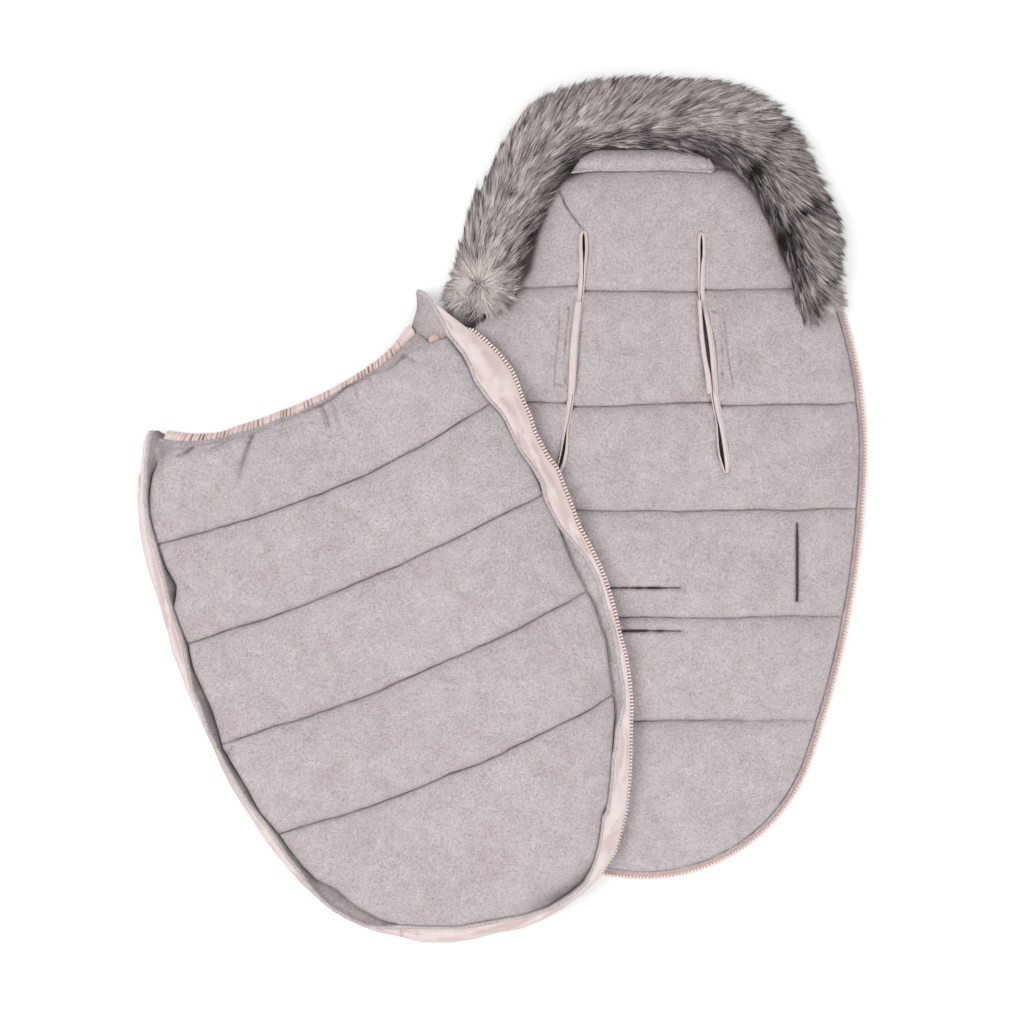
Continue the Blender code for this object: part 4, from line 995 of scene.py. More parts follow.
def binding(side, lips):
    """Folded tape round a slot: down one lip, round the foot and up the other lip."""
    start, end = slot_ends(lips)
    y = np.linspace(start, end, 190)
    far_left, left, right, far_right = slot_lines(lips, y)
    turn = np.linspace(0, math.pi, 11)[1:-1]

    def ring(first, last, drop):
        low = np.stack([
            (first[-1] + last[-1]) / 2 + (last[-1] - first[-1]) / 2 * np.cos(turn),
            end - drop * np.sin(turn),
        ], 1)
        high = np.stack([
            (first[0] + last[0]) / 2 - (last[0] - first[0]) / 2 * np.cos(turn),
            start + drop * np.sin(turn),
        ], 1)
        return np.concatenate([
            np.stack([last, y], 1), low, np.stack([first, y], 1)[::-1], high
        ])

    inner, outer = ring(left, right, 0.2 * MM), ring(far_left, far_right, 2.6 * MM)
    run = np.cumsum(np.linalg.norm(inner - np.roll(inner, 1, 0), axis=1))
    ragged = 0.25 * MM * noise(run, 0, 0.006, 77 + side)
    ground = back_shape(*outer.T, BACK.depth(*outer.T))[0] - 1.4 * MM
    ground = np.convolve(np.pad(ground, 6, mode="wrap"), np.ones(13) / 13, "valid")
    wave = 0.25 * MM * noise(run, 0, 0.009, 73) + 0.6 * MM * noise(run, 0, 0.035, 75)
    top = ground + 2.4 * MM + wave
    wide = np.linalg.norm(outer - inner, axis=1)
    wide = np.maximum(wide, 1e-6)
    way = (outer - inner) / wide[:, None]
    rings = []
    for share, rise in (
        (-0.04, -9.0), (-0.03, -4.0), (0.0, -1.2), (0.06, -0.4), (0.25, 0.0), (0.55, -0.05),
        (0.70, -0.45), (0.77, -0.65), (0.84, -0.40), (0.93, -0.5), (1.0, -1.2), (0.98, -1.9),
        (0.7, -1.7), (0.35, -1.5), (0.2, -3.5), (0.1, -9.0),
    ):
        away = share * wide + (ragged if share > 0.9 else 0)
        z = top + rise * MM
        rings.append(np.column_stack([inner + way * away[:, None], np.maximum(z, 2.2 * MM)]))
    rings = np.stack(rings, 1)
    name = SIDES[side]
    made = loft(f"slot_binding_tape_{name}", rings, LOOKS["binding"], "back_section", closed=True)
    shade = np.zeros(rings.shape[:2])
    shade[:, :3] = (1.0, 0.9, 0.3)
    shade[:, 6:8] = 0.22
    shade[:, 10] = 0.15
    shade[:, 13:] = 0.8
    set_painted_shade(made, shade.ravel())
    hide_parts(f"slot_binding_{name}")


def ribbon(centre, along, width, thick, up=(0, 0, 1)):
    """Rings of a flat strip with rounded edges."""
    across = unit(np.cross(along, np.broadcast_to(up, along.shape)))
    upward = np.cross(across, along)
    rings = []
    for a, u in ((-1, 0), (-0.9, 0.8), (-0.4, 1), (0.4, 1), (0.9, 0.8), (1, 0), (0.9, -0.8),
                 (0.4, -1), (-0.4, -1), (-0.9, -0.8)):
        rings.append(centre + across * (a * width / 2)[:, None] + upward * (u * thick / 2))
    return np.stack(rings, 1)


def directions(line):
    return unit(np.gradient(line, axis=0))


TAB_RIGHT = (
    (299, 698.4, 702.4), (315, 699.4, 703.2), (335, 700.4, 704.9), (355, 703.0, 707.4),
    (375, 706.2, 711.6), (392.6, 708.0, 713.6),
)
TAB_LEFT = (
    (300, 575.7, 582.3), (320, 573.1, 580.4), (335, 571.3, 578.9), (355, 569.6, 577.4),
    (375, 568.9, 576.4), (394, 568.2, 574.6),
)


def closing_tabs():
    """The right tab lies along the slot's inner lip. The left one is closed across its slot."""
    for side, table in ((1, TAB_RIGHT), (-1, TAB_LEFT)):
        start, end = slot_ends(table)
        y = np.linspace(start, end, 90)
        first, last = slot_lines(table, y)
        x, width = (first + last) / 2, last - first
        width = width + 0.35 * MM * noise(y, 0, 0.007, 83 + side)
        ends = smooth((start - y) / 0.0015) * smooth((y - end) / 0.0015)
        ground = back_shape(x, y, BACK.depth(x, y))[0]
        z = 27.4 * MM + 0.3 * MM * noise(y, 0, 0.02, 81) if side > 0 else ground + 2.1 * MM
        line = np.column_stack([x, y, np.broadcast_to(z, y.shape)])
        rings = ribbon(line, directions(line), width * (0.9 + 0.1 * ends), 1.7 * MM)
        name = SIDES[side]
        body = "right_tab" if side > 0 else "back_section"
        made = loft(f"closing_tab_tape_{name}", rings, LOOKS["binding"], body)
        shade = np.zeros(rings.shape[:2])
        shade[:, 1] = shade[:, 4] = 0.14
        set_painted_shade(made, shade.ravel())
        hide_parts(f"closing_tab_{name}")


def loop_patches():
    for side, lips in ((1, LIPS_RIGHT), (-1, LIPS_LEFT)):
        y = np.linspace(0.2725, 0.3725, 24)
        x = sum(slot_hole(lips, y)) / 2 + side * 20 * MM
        line = np.column_stack([x, y, np.full(24, 1.95 * MM)])
        rings = ribbon(line, directions(line), np.full(24, 16 * MM), 0.5 * MM)
        name = SIDES[side]
        made = loft(f"loop_patch_tape_{name}", rings, LOOKS["loop"], "back_section")
        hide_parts(f"loop_patch_{name}")


# Zips


def teeth_mesh(name, centre, along, outward, up, look, body):
    """A moulded tooth at each point: a neck that clamps the tape and a rounded head."""
    reach = np.array([-1.6, 0.1, 1.0, 1.8, 2.6, 3.0]) * MM
    half = np.array([0.95, 1.0, 0.85, 1.42, 1.35, 0.7]) * MM
    thick = np.array([1.35, 1.7, 1.6, 1.6, 1.45, 0.7]) * MM
    corner = [(math.cos(t), math.sin(t)) for t in np.radians(np.arange(8) * 45 + 22.5)]
    local = []
    for r, h, t in zip(reach, half, thick):
        local.extend((a * h * 1.08, r, b * t * 1.08) for a, b in corner)
    local = np.array(local)
    verts = (
        centre[:, None]
        + along[:, None] * local[None, :, :1]
        + outward[:, None] * local[None, :, 1:2]
        + up[:, None] * local[None, :, 2:]
    )
    one = ring_grid(6, 8)
    caps = np.array([[0, 3, 2, 1], [0, 5, 4, 3], [0, 7, 6, 5], [40, 41, 42, 43], [40, 43, 44, 45],
                     [40, 45, 46, 47]])
    one = np.concatenate([one, caps])
    quads = one[None] + (np.arange(len(centre)) * 48)[:, None, None]
    return quick_mesh(name, verts.reshape(-1, 3), quads.reshape(-1, 4), look, body)


def even_angles(first, last, pitch):
    """Angles along the back outline, a pitch apart, from the right end round the foot."""
    fine = np.linspace(first, last, 4000)
    run = travelled(np.stack(BACK.point(fine), 1))
    return np.interp(np.arange(0, run[-1], pitch), run, fine)


def back_zip():
    first, last = ZIP_END_DEG[0], -180 - ZIP_END_DEG[1]
    stop = math.degrees(6.6 * MM / BACK_SIDE)
    angles = even_angles(first - stop, last + stop, TOOTH_PITCH)
    x, y = BACK.point(angles, 1.7 * MM)
    normal = np.radians(np.where(angles < -90, -180 - angles, angles))
    side = np.where(angles < -90, -1, 1)
    out = np.column_stack([side * np.cos(normal), np.sin(normal), np.zeros(len(angles))])
    up = np.broadcast_to((0.0, 0.0, 1.0), out.shape)
    centre = np.column_stack([x, y, np.full(len(x), sum(TEETH_Z) / 2)]) - out * 1.7 * MM
    made = teeth_mesh(
        "back_zip_teeth_row", centre, np.cross(up, out), out, up, LOOKS["teeth"], "back_section"
    )
    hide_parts("back_zip_teeth")

    angles = np.linspace(first, last, 900)
    rings = []
    for inset, z in ((2.6, 4.0), (3.0, 3.5), (3.8, 3.5), (4.4, 4.3), (16.5, 4.3), (16.5, 4.9),
                     (5.0, 5.0), (4.4, 5.2), (3.8, 5.7), (3.0, 5.7), (2.6, 5.2)):
        x, y = BACK.point(angles, inset * MM)
        rings.append(np.column_stack([x, y, np.full(len(x), z * MM)]))
    made = loft(
        "back_zip_tape_woven", np.stack(rings, 1), LOOKS["tape_pale"], "back_section"
    )
    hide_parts("back_zip_tape")


# Hood


def hood_point(share, inset):
    """Points along the hood from its left end over the top to the right, and the outward way."""
    side_run, other_run = (
        math.radians(HOOD_JOIN_DEG - end) * BACK_SIDE for end in FUR_SPAN_DEG
    )
    hood_radius = BACK.arcs[0][2]
    hood_run = math.radians(180 - 2 * HOOD_JOIN_DEG) * hood_radius
    run = np.asarray(share) * (side_run + hood_run + other_run)
    angle = np.where(
        run <= side_run,
        180 - FUR_SPAN_DEG[0] - np.degrees(run / BACK_SIDE),
        np.where(
            run <= side_run + hood_run,
            180 - HOOD_JOIN_DEG - np.degrees((run - side_run) / hood_radius),
            HOOD_JOIN_DEG - np.degrees((run - side_run - hood_run) / BACK_SIDE),
        ),
    )
    left = angle > 90
    x, y = BACK.point(np.where(left, 180 - angle, angle), 0.0)
    x = np.where(left, -x, x)
    out = np.stack([np.cos(np.radians(angle)), np.sin(np.radians(angle))], -1)
    return x - out[..., 0] * inset, y - out[..., 1] * inset, out


def fur_core(share, turn, fill=0.62):
    """Points on the fur's dense inner body and their normals. Turn 0 is up, 1 is outward."""
    middle, half = between(FUR_MIDDLE, share), between(FUR_HALF_WIDTH, share) - 6 * MM
    half = np.maximum(half, 7 * MM)
    top = between(FUR_TOP_Z, share) * fill
    end = roll(np.minimum(share + 0.012, 1.012 - share) * 14)
    angle = turn * math.radians(88)
    inset = middle - np.sin(angle) * half
    x, y, out = hood_point(share, inset)
    ground = np.where(inset > 8 * MM, 0.013, 0.0) * smooth((inset - 4 * MM) / 0.02)
    z = ground + 2 * MM + (top - ground) * end * np.cos(angle)
    normal = np.stack(
        [out[..., 0] * np.sin(angle), out[..., 1] * np.sin(angle), np.cos(angle)], -1
    )
    return np.stack([x, y, z], -1), normal, out


COMB_SHARES = np.array([0.0, 0.10, 0.25, 0.45, 0.57, 0.70, 0.80, 0.92, 1.0])
COMB_OUTER = np.array([75, 43, 36, 50, 57, 62, 30, 45, 72.0])
COMB_MIDDLE = np.array([60, -8, 3, 38, 32, 30, 12, 24, 30.0])
COMB_INNER = np.array([-40, -22, -14, 4, -2, -14, -20, -8, -20.0])
WHORL = (478, 283)


def comb(share, turn, place, out):
    """Which way the hair lies: along the hood, fanned out to both of its edges."""
    outer = np.interp(share, COMB_SHARES, COMB_OUTER)
    middle = np.interp(share, COMB_SHARES, COMB_MIDDLE)
    inner = np.interp(share, COMB_SHARES, COMB_INNER)
    angle = np.where(turn > 0, middle + (outer - middle) * turn, middle + (middle - inner) * turn)
    angle = np.radians(angle)
    along = np.stack([out[..., 1], -out[..., 0]], -1)
    way = along * np.cos(angle)[..., None] + out * np.sin(angle)[..., None]
    centre = np.array(to_plane(*WHORL, 0.04))
    from_whorl = place[..., :2] - centre
    away = np.linalg.norm(from_whorl, axis=-1, keepdims=True)
    near = 1 - smooth((away - 0.010) / 0.024)
    way = way * (1 - near) + from_whorl / np.maximum(away, 1e-6) * near
    return unit(way)


def hair_path(share, turn, length, lift, steps):
    """Points of hairs that rise from the core and lie over the way they are combed."""
    root, normal, out = fur_core(share, turn)
    way = comb(share, turn, root, out)
    angle = turn * math.radians(88)
    down = np.stack(
        [out[..., 0] * np.cos(angle), out[..., 1] * np.cos(angle), -np.sin(angle)], -1
    )
    across = (way * out).sum(-1)
    along = np.stack([out[..., 1], -out[..., 0]], -1)
    forward = (way * along).sum(-1)
    lying = np.concatenate([along * forward[..., None], np.zeros(forward.shape + (1,))], -1)
    lying = lying + down * across[..., None]
    points = [root]
    for k in range(steps):
        share_up = (k + 0.5) / steps
        rise = lift * (1 - share_up) + 0.10
        step = normal * rise[..., None] + lying
        step[..., 2] -= 0.16 * share_up
        points.append(points[-1] + unit(step) * (length / steps)[..., None])
    return np.stack(points, 1)


# Lines where the pile parts, painted darker there as shade down into the gap
PARTINGS = (
    ((744, 176), (748, 162), (753, 147), (761, 134), (768, 127)),
    ((781, 228), (788, 208), (801, 194), (820, 186)),
    ((812, 292), (813, 280), (818, 270), (826, 268)),
    ((640, 152), (652, 150)),
)


def fur():
    rng = np.random.default_rng(17)
    steps = 4
    clumps = 5200
    tuft_share, tuft_turn = rng.uniform(0, 1, clumps), rng.uniform(-1, 1, clumps)
    lengthen = 1 + 0.25 * np.abs(tuft_turn)
    tuft_length = rng.uniform(0.021, 0.034, clumps) * lengthen
    tuft_lift = rng.uniform(0.35, 0.8, clumps)
    tuft_path = hair_path(tuft_share, tuft_turn, tuft_length, tuft_lift, steps)
    tuft_tone = rng.normal(0, 0.18, clumps)
    order = np.argsort(tuft_share)
    pieces = 4
    for piece in range(pieces):
        strands = 40000
        low, high = piece / pieces, (piece + 1) / pieces
        own = order[(tuft_share[order] >= low) & (tuft_share[order] < high)]
        tuft = own[rng.integers(0, len(own), strands)]
        share = clamp(tuft_share[tuft] + rng.normal(0, 0.0035, strands), 0, 1)
        turn = clamp(tuft_turn[tuft] + rng.normal(0, 0.045, strands), -1, 1)
        length = tuft_length[tuft] * rng.uniform(0.72, 1.12, strands)
        loose = rng.uniform(0, 1, strands) < 0.07
        length = np.where(loose, length * 1.15, length)
        lift = tuft_lift[tuft] + rng.normal(0, 0.08, strands)
        path = hair_path(share, turn, length, lift, steps)
        pull = (np.arange(steps + 1) / steps) ** 1.2 * 0.82
        gather = np.where(loose, 0.15, 1.0)[:, None, None] * pull[None, :, None]
        goal = tuft_path[tuft]
        scale = (length / tuft_length[tuft])[:, None, None]
        goal = goal[:, :1] + (goal - goal[:, :1]) * scale
        path = path * (1 - gather) + goal * gather
        to_tip = (np.arange(steps + 1) / steps)[None, :, None]
        path += rng.normal(0, 0.35 * MM, path.shape) * to_tip
        path[..., 2] = np.maximum(path[..., 2], 1.2 * MM)
        ahead = np.gradient(path, axis=1)
        view = np.array([0, 0, 1.0]) + rng.normal(0, 0.45, (strands, 1, 3))
        wide = unit(np.cross(ahead, view))
        taper = np.array([1.0, 1.0, 0.85, 0.55, 0.12])[None, :, None]
        thick = rng.uniform(0.15, 0.33, (strands, 1, 1)) * MM
        left, right = path - wide * thick * taper, path + wide * thick * taper
        verts = np.stack([left, right], 2).reshape(-1, 3)
        base = (np.arange(strands) * (steps + 1) * 2)[:, None]
        k = np.arange(steps)[None] * 2
        quads = np.stack([base + k, base + k + 1, base + k + 3, base + k + 2], -1).reshape(-1, 4)
        made = quick_mesh(f"fur_hair_{piece + 1}", verts, quads, LOOKS["hair"], "back_section")
        along = np.array([0.15, 0.47, 0.78, 0.90, 0.80])[None]
        dark_tip = (rng.uniform(0, 1, strands) < 0.36) | (np.abs(turn) > 0.84)
        along = np.repeat(along, strands, 0)
        along[:, 4] -= np.where(dark_tip, 0.62, 0.0)
        along[:, 3] -= np.where(dark_tip, 0.28, 0.0)
        own_tone = tuft_tone[tuft] + rng.normal(0, 0.17, strands)
        # Painted shade and light along the hood: darker over the right part and a little over the
        # left, lighter at both ends.
        shade = -0.13 * smooth((share - 0.6) / 0.25) - 0.07 * (1 - smooth(share / 0.4))
        shade += 0.18 * (1 - smooth(share / 0.11)) + 0.26 * smooth((share - 0.92) / 0.05)
        away = np.min([
            from_line(path[:, 0, 0], path[:, 0, 1], plane_line(*line, z=0.04))[0]
            for line in PARTINGS
        ], axis=0)
        depth = bump(np.linalg.norm(path[:, 0, :2] - to_plane(*WHORL, 0.04), axis=1), 0.016)
        along[:, :3] += 0.42 * depth[:, None]
        # Painted shade on the hairs along the fur's inner edge, reaching further toward the right.
        inner = smooth((0.14 * smooth((share - 0.6) / 0.1) - 0.28 - turn) / 0.34)[:, None]
        along[:, 2:] -= inner * np.array([[0.22, 0.42, 0.50]])
        outer = smooth((turn - 0.55) / 0.3)[:, None]
        along[:, 3:] -= outer * np.array([[0.12, 0.25]])
        # Painted shade along the partings.
        along[:, :4] -= (0.75 * bump(away, 4.5 * MM))[:, None]
        tone = clamp(along + (own_tone + shade)[:, None], 0.02, 1.0)
        set_values(made, "tone", np.repeat(tone, 2, 1).ravel())
        if piece == 0:
            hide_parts("fur_trim_pile")
    share, turn = np.meshgrid(np.linspace(0, 1, 150), np.linspace(-1.06, 1.06, 22), indexing="ij")
    body, _, _ = fur_core(share, turn, 0.56)
    body += 0.8 * MM * noise(share * 0.7, turn * 0.05, 0.006, 91)[..., None]
    made = loft("fur_undercoat_body", body, LOOKS["pelt"], "back_section")
    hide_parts("fur_trim_backing")


def brim_lip():
    """The hood lining's folded edge, a flat band that goes up under the fur."""
    share = np.linspace(-1, 1, 120)[None]
    x = -0.002 + 0.088 * share
    lower = 0.527 - 0.0035 * share**2 + 0.9 * MM * noise(x, 0, 0.03, 95)
    lower = lower + 5 * MM * smooth((share - 0.93) / 0.05)
    upper = lower + 25 * MM - 11 * MM * smooth((np.abs(share) - 0.6) / 0.4)
    across = np.array([0, 0.004, 0.015, 0.04, 0.09, 0.17, 0.3, 0.45, 0.6, 0.8, 1.0])[:, None]
    y = lower + (upper - lower) * across
    x = x - 9 * MM * across * smooth((np.abs(share) - 0.85) / 0.15) * np.sign(share)
    ground = back_shape(x, y, BACK.depth(x, y))[0]
    over = np.array([-1.0, 0.9, 1.9, 2.7, 3.3, 3.7, 3.6, 3.0, 2.4, 1.8, 1.2])[:, None] * MM
    soft = 0.5 * MM * layers(x, y, 0.012, 97)
    end = roll((1 - np.abs(share)) * 12)
    top = ground + 0.6 * MM + (over + soft) * end
    made = slab(
        "hood_brim_roll", x, y, top, np.minimum(top - 1.5 * MM, ground - 2.5 * MM),
        LOOKS["plush"], "back_section",
    )
    shade = 0.8 * bump(across * 25, 0.25) + 0.35 * smooth((across - 0.45) / 0.4) + 0 * x
    set_painted_shade(made, np.concatenate([shade.ravel(), np.full(shade.size, 0.8)]))
    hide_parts("hood_brim_lip")


# Front cover

# Three lines of the photograph round the cover, from the right corner by the foot to the left:
# where the lining ends, where the gusset's plush meets its fabric, and the outermost line.
PANEL_LINE = (
    (415.7, 290), (417, 302), (416.4, 309), (413.5, 318), (411.3, 324), (411.5, 332),
    (414, 337), (425.6, 341), (437, 341), (446.5, 335.5), (451, 341), (456, 348), (462, 356),
    (469, 368), (474, 381), (488, 400), (498.2, 410), (505.8, 422), (512.3, 437),
    (519.9, 452), (530.7, 467), (539, 484.6), (544, 499), (551.3, 513), (558.9, 528),
    (564.3, 544), (572, 563), (584.4, 587), (593.6, 604), (599.7, 623), (605.8, 641),
    (608, 656), (610.4, 678), (613.5, 696), (615, 713), (613.5, 739), (611.2, 780),
    (608.5, 804), (603, 815), (602, 826), (599, 847), (594.5, 863), (590, 873.4),
    (582.3, 884), (570, 893), (550, 907), (527, 916), (504.2, 920), (481.2, 924),
    (456.7, 928.5), (420, 928), (399.4, 926.7), (380.3, 921.6), (358.6, 910), (348.4, 902.4),
    (337, 892), (315.3, 881), (301.2, 867), (288.5, 851), (280.8, 840), (269.5, 826),
    (258, 812.5), (246.5, 790.5), (238.9, 778), (221, 748.4), (217.2, 732), (210.8, 711),
    (201.9, 691), (191.7, 669), (188.5, 655), (187, 646), (180, 631), (175, 618), (171, 608),
    (174, 600), (175.5, 586), (164.6, 568), (158.3, 552), (153.4, 539), (150, 524),
    (147.4, 511), (147.4, 498), (148.7, 485.5), (151, 474), (156, 463), (166, 451),
    (171, 444), (165, 439.5), (160, 436), (152, 430), (150, 424),
)
LIP_LINE = (
    (415.7, 289), (425.6, 293), (432.6, 300), (436, 308), (439.6, 314), (444.7, 323.4),
    (449, 333), (453.7, 339), (458.8, 345), (465, 353), (471.5, 366), (476.6, 380),
    (491, 400), (501, 410), (508, 422.8), (515, 437), (523, 452), (534, 466), (543.5, 482.4),
    (546.5, 497), (553.5, 512.8), (561, 526), (567.6, 534.4), (574, 541), (581.7, 550.7),
    (590.5, 561.4), (599, 579.8), (604.5, 596.6), (610, 618), (615.5, 631.8), (618, 647),
    (621.5, 670), (625, 688.5), (625.5, 705), (622.7, 719), (618.8, 731), (617.3, 751),
    (613.5, 762), (612.3, 780), (611.3, 795), (609.3, 814), (604.2, 821), (603, 831),
    (597.6, 856.5), (592, 872), (586.8, 885.6), (573, 898), (550, 911.6), (524, 920),
    (502.7, 923.5), (481.2, 927.5), (456.7, 931), (440, 930), (418.6, 930), (399.4, 930),
    (382.9, 931), (365, 929), (348.4, 921), (334.4, 913.5), (321.6, 903.4), (311.4, 893),
    (303.8, 883), (296, 872), (287.2, 861.6), (277, 846), (266.8, 831), (256.7, 818.6),
    (245.3, 804.5), (233.8, 785.4), (222.3, 766), (213.4, 748.4), (204.4, 729), (196.8, 706),
    (190.4, 693.6), (185.3, 669), (180.8, 648), (177.4, 635), (172.3, 622), (169, 610.5),
    (165.3, 598), (162, 582), (156.4, 562), (151.3, 543), (147, 529), (143.9, 515),
    (142.5, 498), (143, 479), (143.8, 460), (145, 453), (146.2, 440), (150, 427), (150, 422),
)
OUTER_LINE = (
    (415.7, 287), (430, 297), (442, 303), (455.6, 314), (465, 321), (474.5, 329), (486, 338),
    (499.4, 351), (512.7, 368), (519.3, 383), (524.3, 399), (532, 416), (536, 430),
    (541.5, 441), (549, 455), (559, 467.4), (565.7, 485.6), (572.4, 502), (581.5, 527),
    (590.5, 543), (602, 566), (607, 578), (612, 594), (616, 608), (621, 630), (628, 656),
    (630, 668), (632.3, 686), (633.8, 706), (633.3, 724), (632.8, 754), (631.8, 780),
    (629, 810.6), (623.6, 832), (617.5, 853.5), (609.8, 866), (600.6, 880), (585.3, 895),
    (565.4, 910), (542.4, 922.4), (519.5, 931.5), (496.5, 935.4), (473.6, 941.5),
    (450.6, 945), (420, 944.5), (410.9, 942), (395.6, 938), (375.2, 934), (358.6, 927.5),
    (344.6, 921.5), (326.7, 909.5), (311.4, 896), (300, 885.5), (288.5, 872.5), (275.7, 857),
    (265.5, 844), (252.8, 824.6), (241.4, 807), (230, 789), (219.7, 769), (211.3, 748.4),
    (202.4, 730.6), (194.8, 712.7), (186, 693.6), (177.4, 670.6), (170, 651.5), (166.8, 636),
    (162.4, 622), (158.3, 606.7), (152, 587.6), (145.5, 568), (141, 549), (137.9, 531),
    (136, 515), (134.7, 495.7), (135.3, 479), (136.6, 467.7), (138.5, 453), (140, 442),
    (144, 433), (148, 426), (149, 420),
)
# How far the zip is turned under, round the cover by even shares of the way
TUCK = (0, 0, 0, 0, 0, 0, 0.1, 0.15, 0.25, 0.4, 0.85, 1, 1, 1, 0.85, 1, 1, 1, 0.9, 0.05, 0.6)
LIP_RISE = (20, 17, 15, 14, 13, 12, 14, 15, 16, 15, 15, 13, 16, 17, 17, 17, 17, 17, 18, 19, 22)
OUTER_RISE = (21, 15, 13, 12, 12, 11, 12, 13, 12, 10, 9, 9, 11, 11, 11, 11, 11, 11, 12, 13, 18)
# How strongly painted shade darkens the gusset's inner wall, round the cover
WALL_SHADE = (0.34, 0.30, 0.30, 0.3, 0.22, 0.14, 0.14, 0.2, 0.42, 0.6, 0.45, 0.5, 0.45, 0.6, 0.65,
              0.7, 0.75, 0.75, 0.75, 0.65, 0.5)
RUN_OUT = 0.045
BASE_RISE = 3.0 * MM


def lifted_line(pixels, rise):
    """Photograph pixels in the cover's frame, at this height over where the cover lies."""
    px, py = np.array(pixels, float).T
    z = np.full(len(px), 0.03)
    for _ in range(3):
        x, y = to_cover(*to_plane(px, py, z))
        z = drape(x, y) + rise
    return np.stack([x, y], 1)


def perimeter(count, extra):
    """Points round the cover from past its right corner over the foot to past its left one."""
    start = COVER.angle_at(COVER_TOP[1])
    join = math.degrees(COVER.arcs[1][3])
    side_run = math.radians(start - join) * COVER_SIDE + extra
    foot_run = math.radians(join + 90) * COVER_FOOT
    run = (side_run + foot_run) * np.abs(2 * np.arange(count + 1) / count - 1)
    angle = np.where(
        run <= foot_run,
        -90 + np.degrees(run / COVER_FOOT),
        join + np.degrees((run - foot_run) / COVER_SIDE),
    )
    side = np.where(np.arange(count + 1) * 2 <= count, 1.0, -1.0)
    x, y = COVER.point(angle)
    normal = np.stack([side * np.cos(np.radians(angle)), np.sin(np.radians(angle))], 1)
    return side * x, y, normal, (side_run + foot_run) * 2


def share_at(x, y):
    """The share of the way round the cover that points lie nearest to, and the outward normal."""
    cx, cy, radius, _, join = COVER.arcs[0]
    foot_cy = COVER.arcs[1][1]
    angle = np.arctan2(y - cy, np.abs(x) - cx)
    at_foot = angle < join
    angle = np.where(at_foot, np.arctan2(y - foot_cy, np.abs(x)), angle)
    foot_run = (join + math.pi / 2) * COVER_FOOT
    at_side = foot_run + (angle - join) * radius
    run = np.where(at_foot, (angle + math.pi / 2) * COVER_FOOT, at_side)
    start = math.radians(COVER.angle_at(COVER_TOP[1]))
    full = foot_run + (start - join) * radius + RUN_OUT
    side = np.where(x >= 0, 1.0, -1.0)
    return 0.5 - side * run / full / 2, side * np.cos(angle), np.sin(angle)


def reach_to(line, x, y, normal, low, high):
    """How far out from the cover's outline a line lies, at each point of the outline."""
    a, e = line[:-1], np.diff(line, axis=0)
    reach = np.full(len(x), np.nan)
    for k in range(len(x)):
        w = a - (x[k], y[k])
        d = normal[k]
        cross = d[0] * e[:, 1] - d[1] * e[:, 0]
        cross = np.where(np.abs(cross) < 1e-12, 1e-12, cross)
        t = (w[:, 0] * e[:, 1] - w[:, 1] * e[:, 0]) / cross
        s = (w[:, 0] * d[1] - w[:, 1] * d[0]) / cross
        hits = t[(s >= 0) & (s <= 1) & (t > low) & (t < high)]
        if len(hits):
            reach[k] = hits[np.argmin(np.abs(hits - 0.002))]
    known = np.flatnonzero(~np.isnan(reach))
    return np.interp(np.arange(len(x)), known, reach[known]), known[0], known[-1]


def round_the_cover():
    """Samples from tip to tip, and how far out each of the three lines lies there."""
    x, y, normal, run = perimeter(1100, RUN_OUT)
    reaches = []
    first, last = 0, len(x) - 1
    for pixels, rise, low, high in (
        (PANEL_LINE, 0.010, -0.040, 0.026),
        (LIP_LINE, 0.016, -0.02, 0.05),
        (OUTER_LINE, 0.012, -0.005, 0.06),
    ):
        reach, start, end = reach_to(lifted_line(pixels, rise), x, y, normal, low, high)
        soft = (0.1, 0.2, 0.4, 0.2, 0.1)
        reaches.append(np.convolve(np.pad(reach, 2, mode="edge"), soft, "valid"))
        first, last = max(first, start), min(last, end)
    kept = slice(first, last + 1)
    share = np.arange(len(x)) / (len(x) - 1)
    return (x[kept], y[kept], normal[kept], share[kept], share[kept] * run,
            *(reach[kept] for reach in reaches))


(ROUND_X, ROUND_Y, ROUND_NORMAL, ROUND_SHARE, ROUND_RUN,
 PANEL_REACH, LIP_REACH, OUTER_REACH) = round_the_cover()

# The lining's top edge from the right corner to the left, and the casing's two edges
TOP_EDGE = (
    (452, 340), (450, 336), (444, 334), (439.6, 337.4), (428, 342), (417, 347), (405.8, 353.3),
    (401.5, 356), (399, 360), (392, 365.6), (381, 371), (372, 373), (367, 375.5),
    (359, 379.4), (352, 382), (345, 386), (330, 399), (321, 404.5), (317.7, 406),
    (306.4, 410.3), (292.4, 416.6), (281, 420.8), (271, 425.7), (256, 431.4), (251.7, 435),
    (240.5, 435.6), (225, 440), (208, 441.5), (197, 443.3), (192.8, 448), (184, 445.5),
    (176, 446), (168, 450.5), (160, 458), (152, 466), (146, 474),
)
CASING_OUTER = (
    (410, 322), (404, 328.5), (399, 336), (392, 345), (383, 353), (374, 360.4), (361, 370),
    (348, 378.2), (330, 388), (306.4, 399), (285.4, 408), (264.3, 416), (240.5, 423.6),
    (222, 430.7), (208, 433.2), (190, 433.6), (176, 432), (164.7, 430),
)
CASING_INNER = (
    (416, 333), (409, 340), (403, 346), (396, 353), (386, 362), (374, 370.8), (361, 379),
    (348, 386.8), (330, 396.8), (306.4, 410), (285.4, 418.5), (264.3, 426), (240.5, 433.2),
    (222, 439), (208, 441), (190, 443), (172, 442), (160, 440),
)
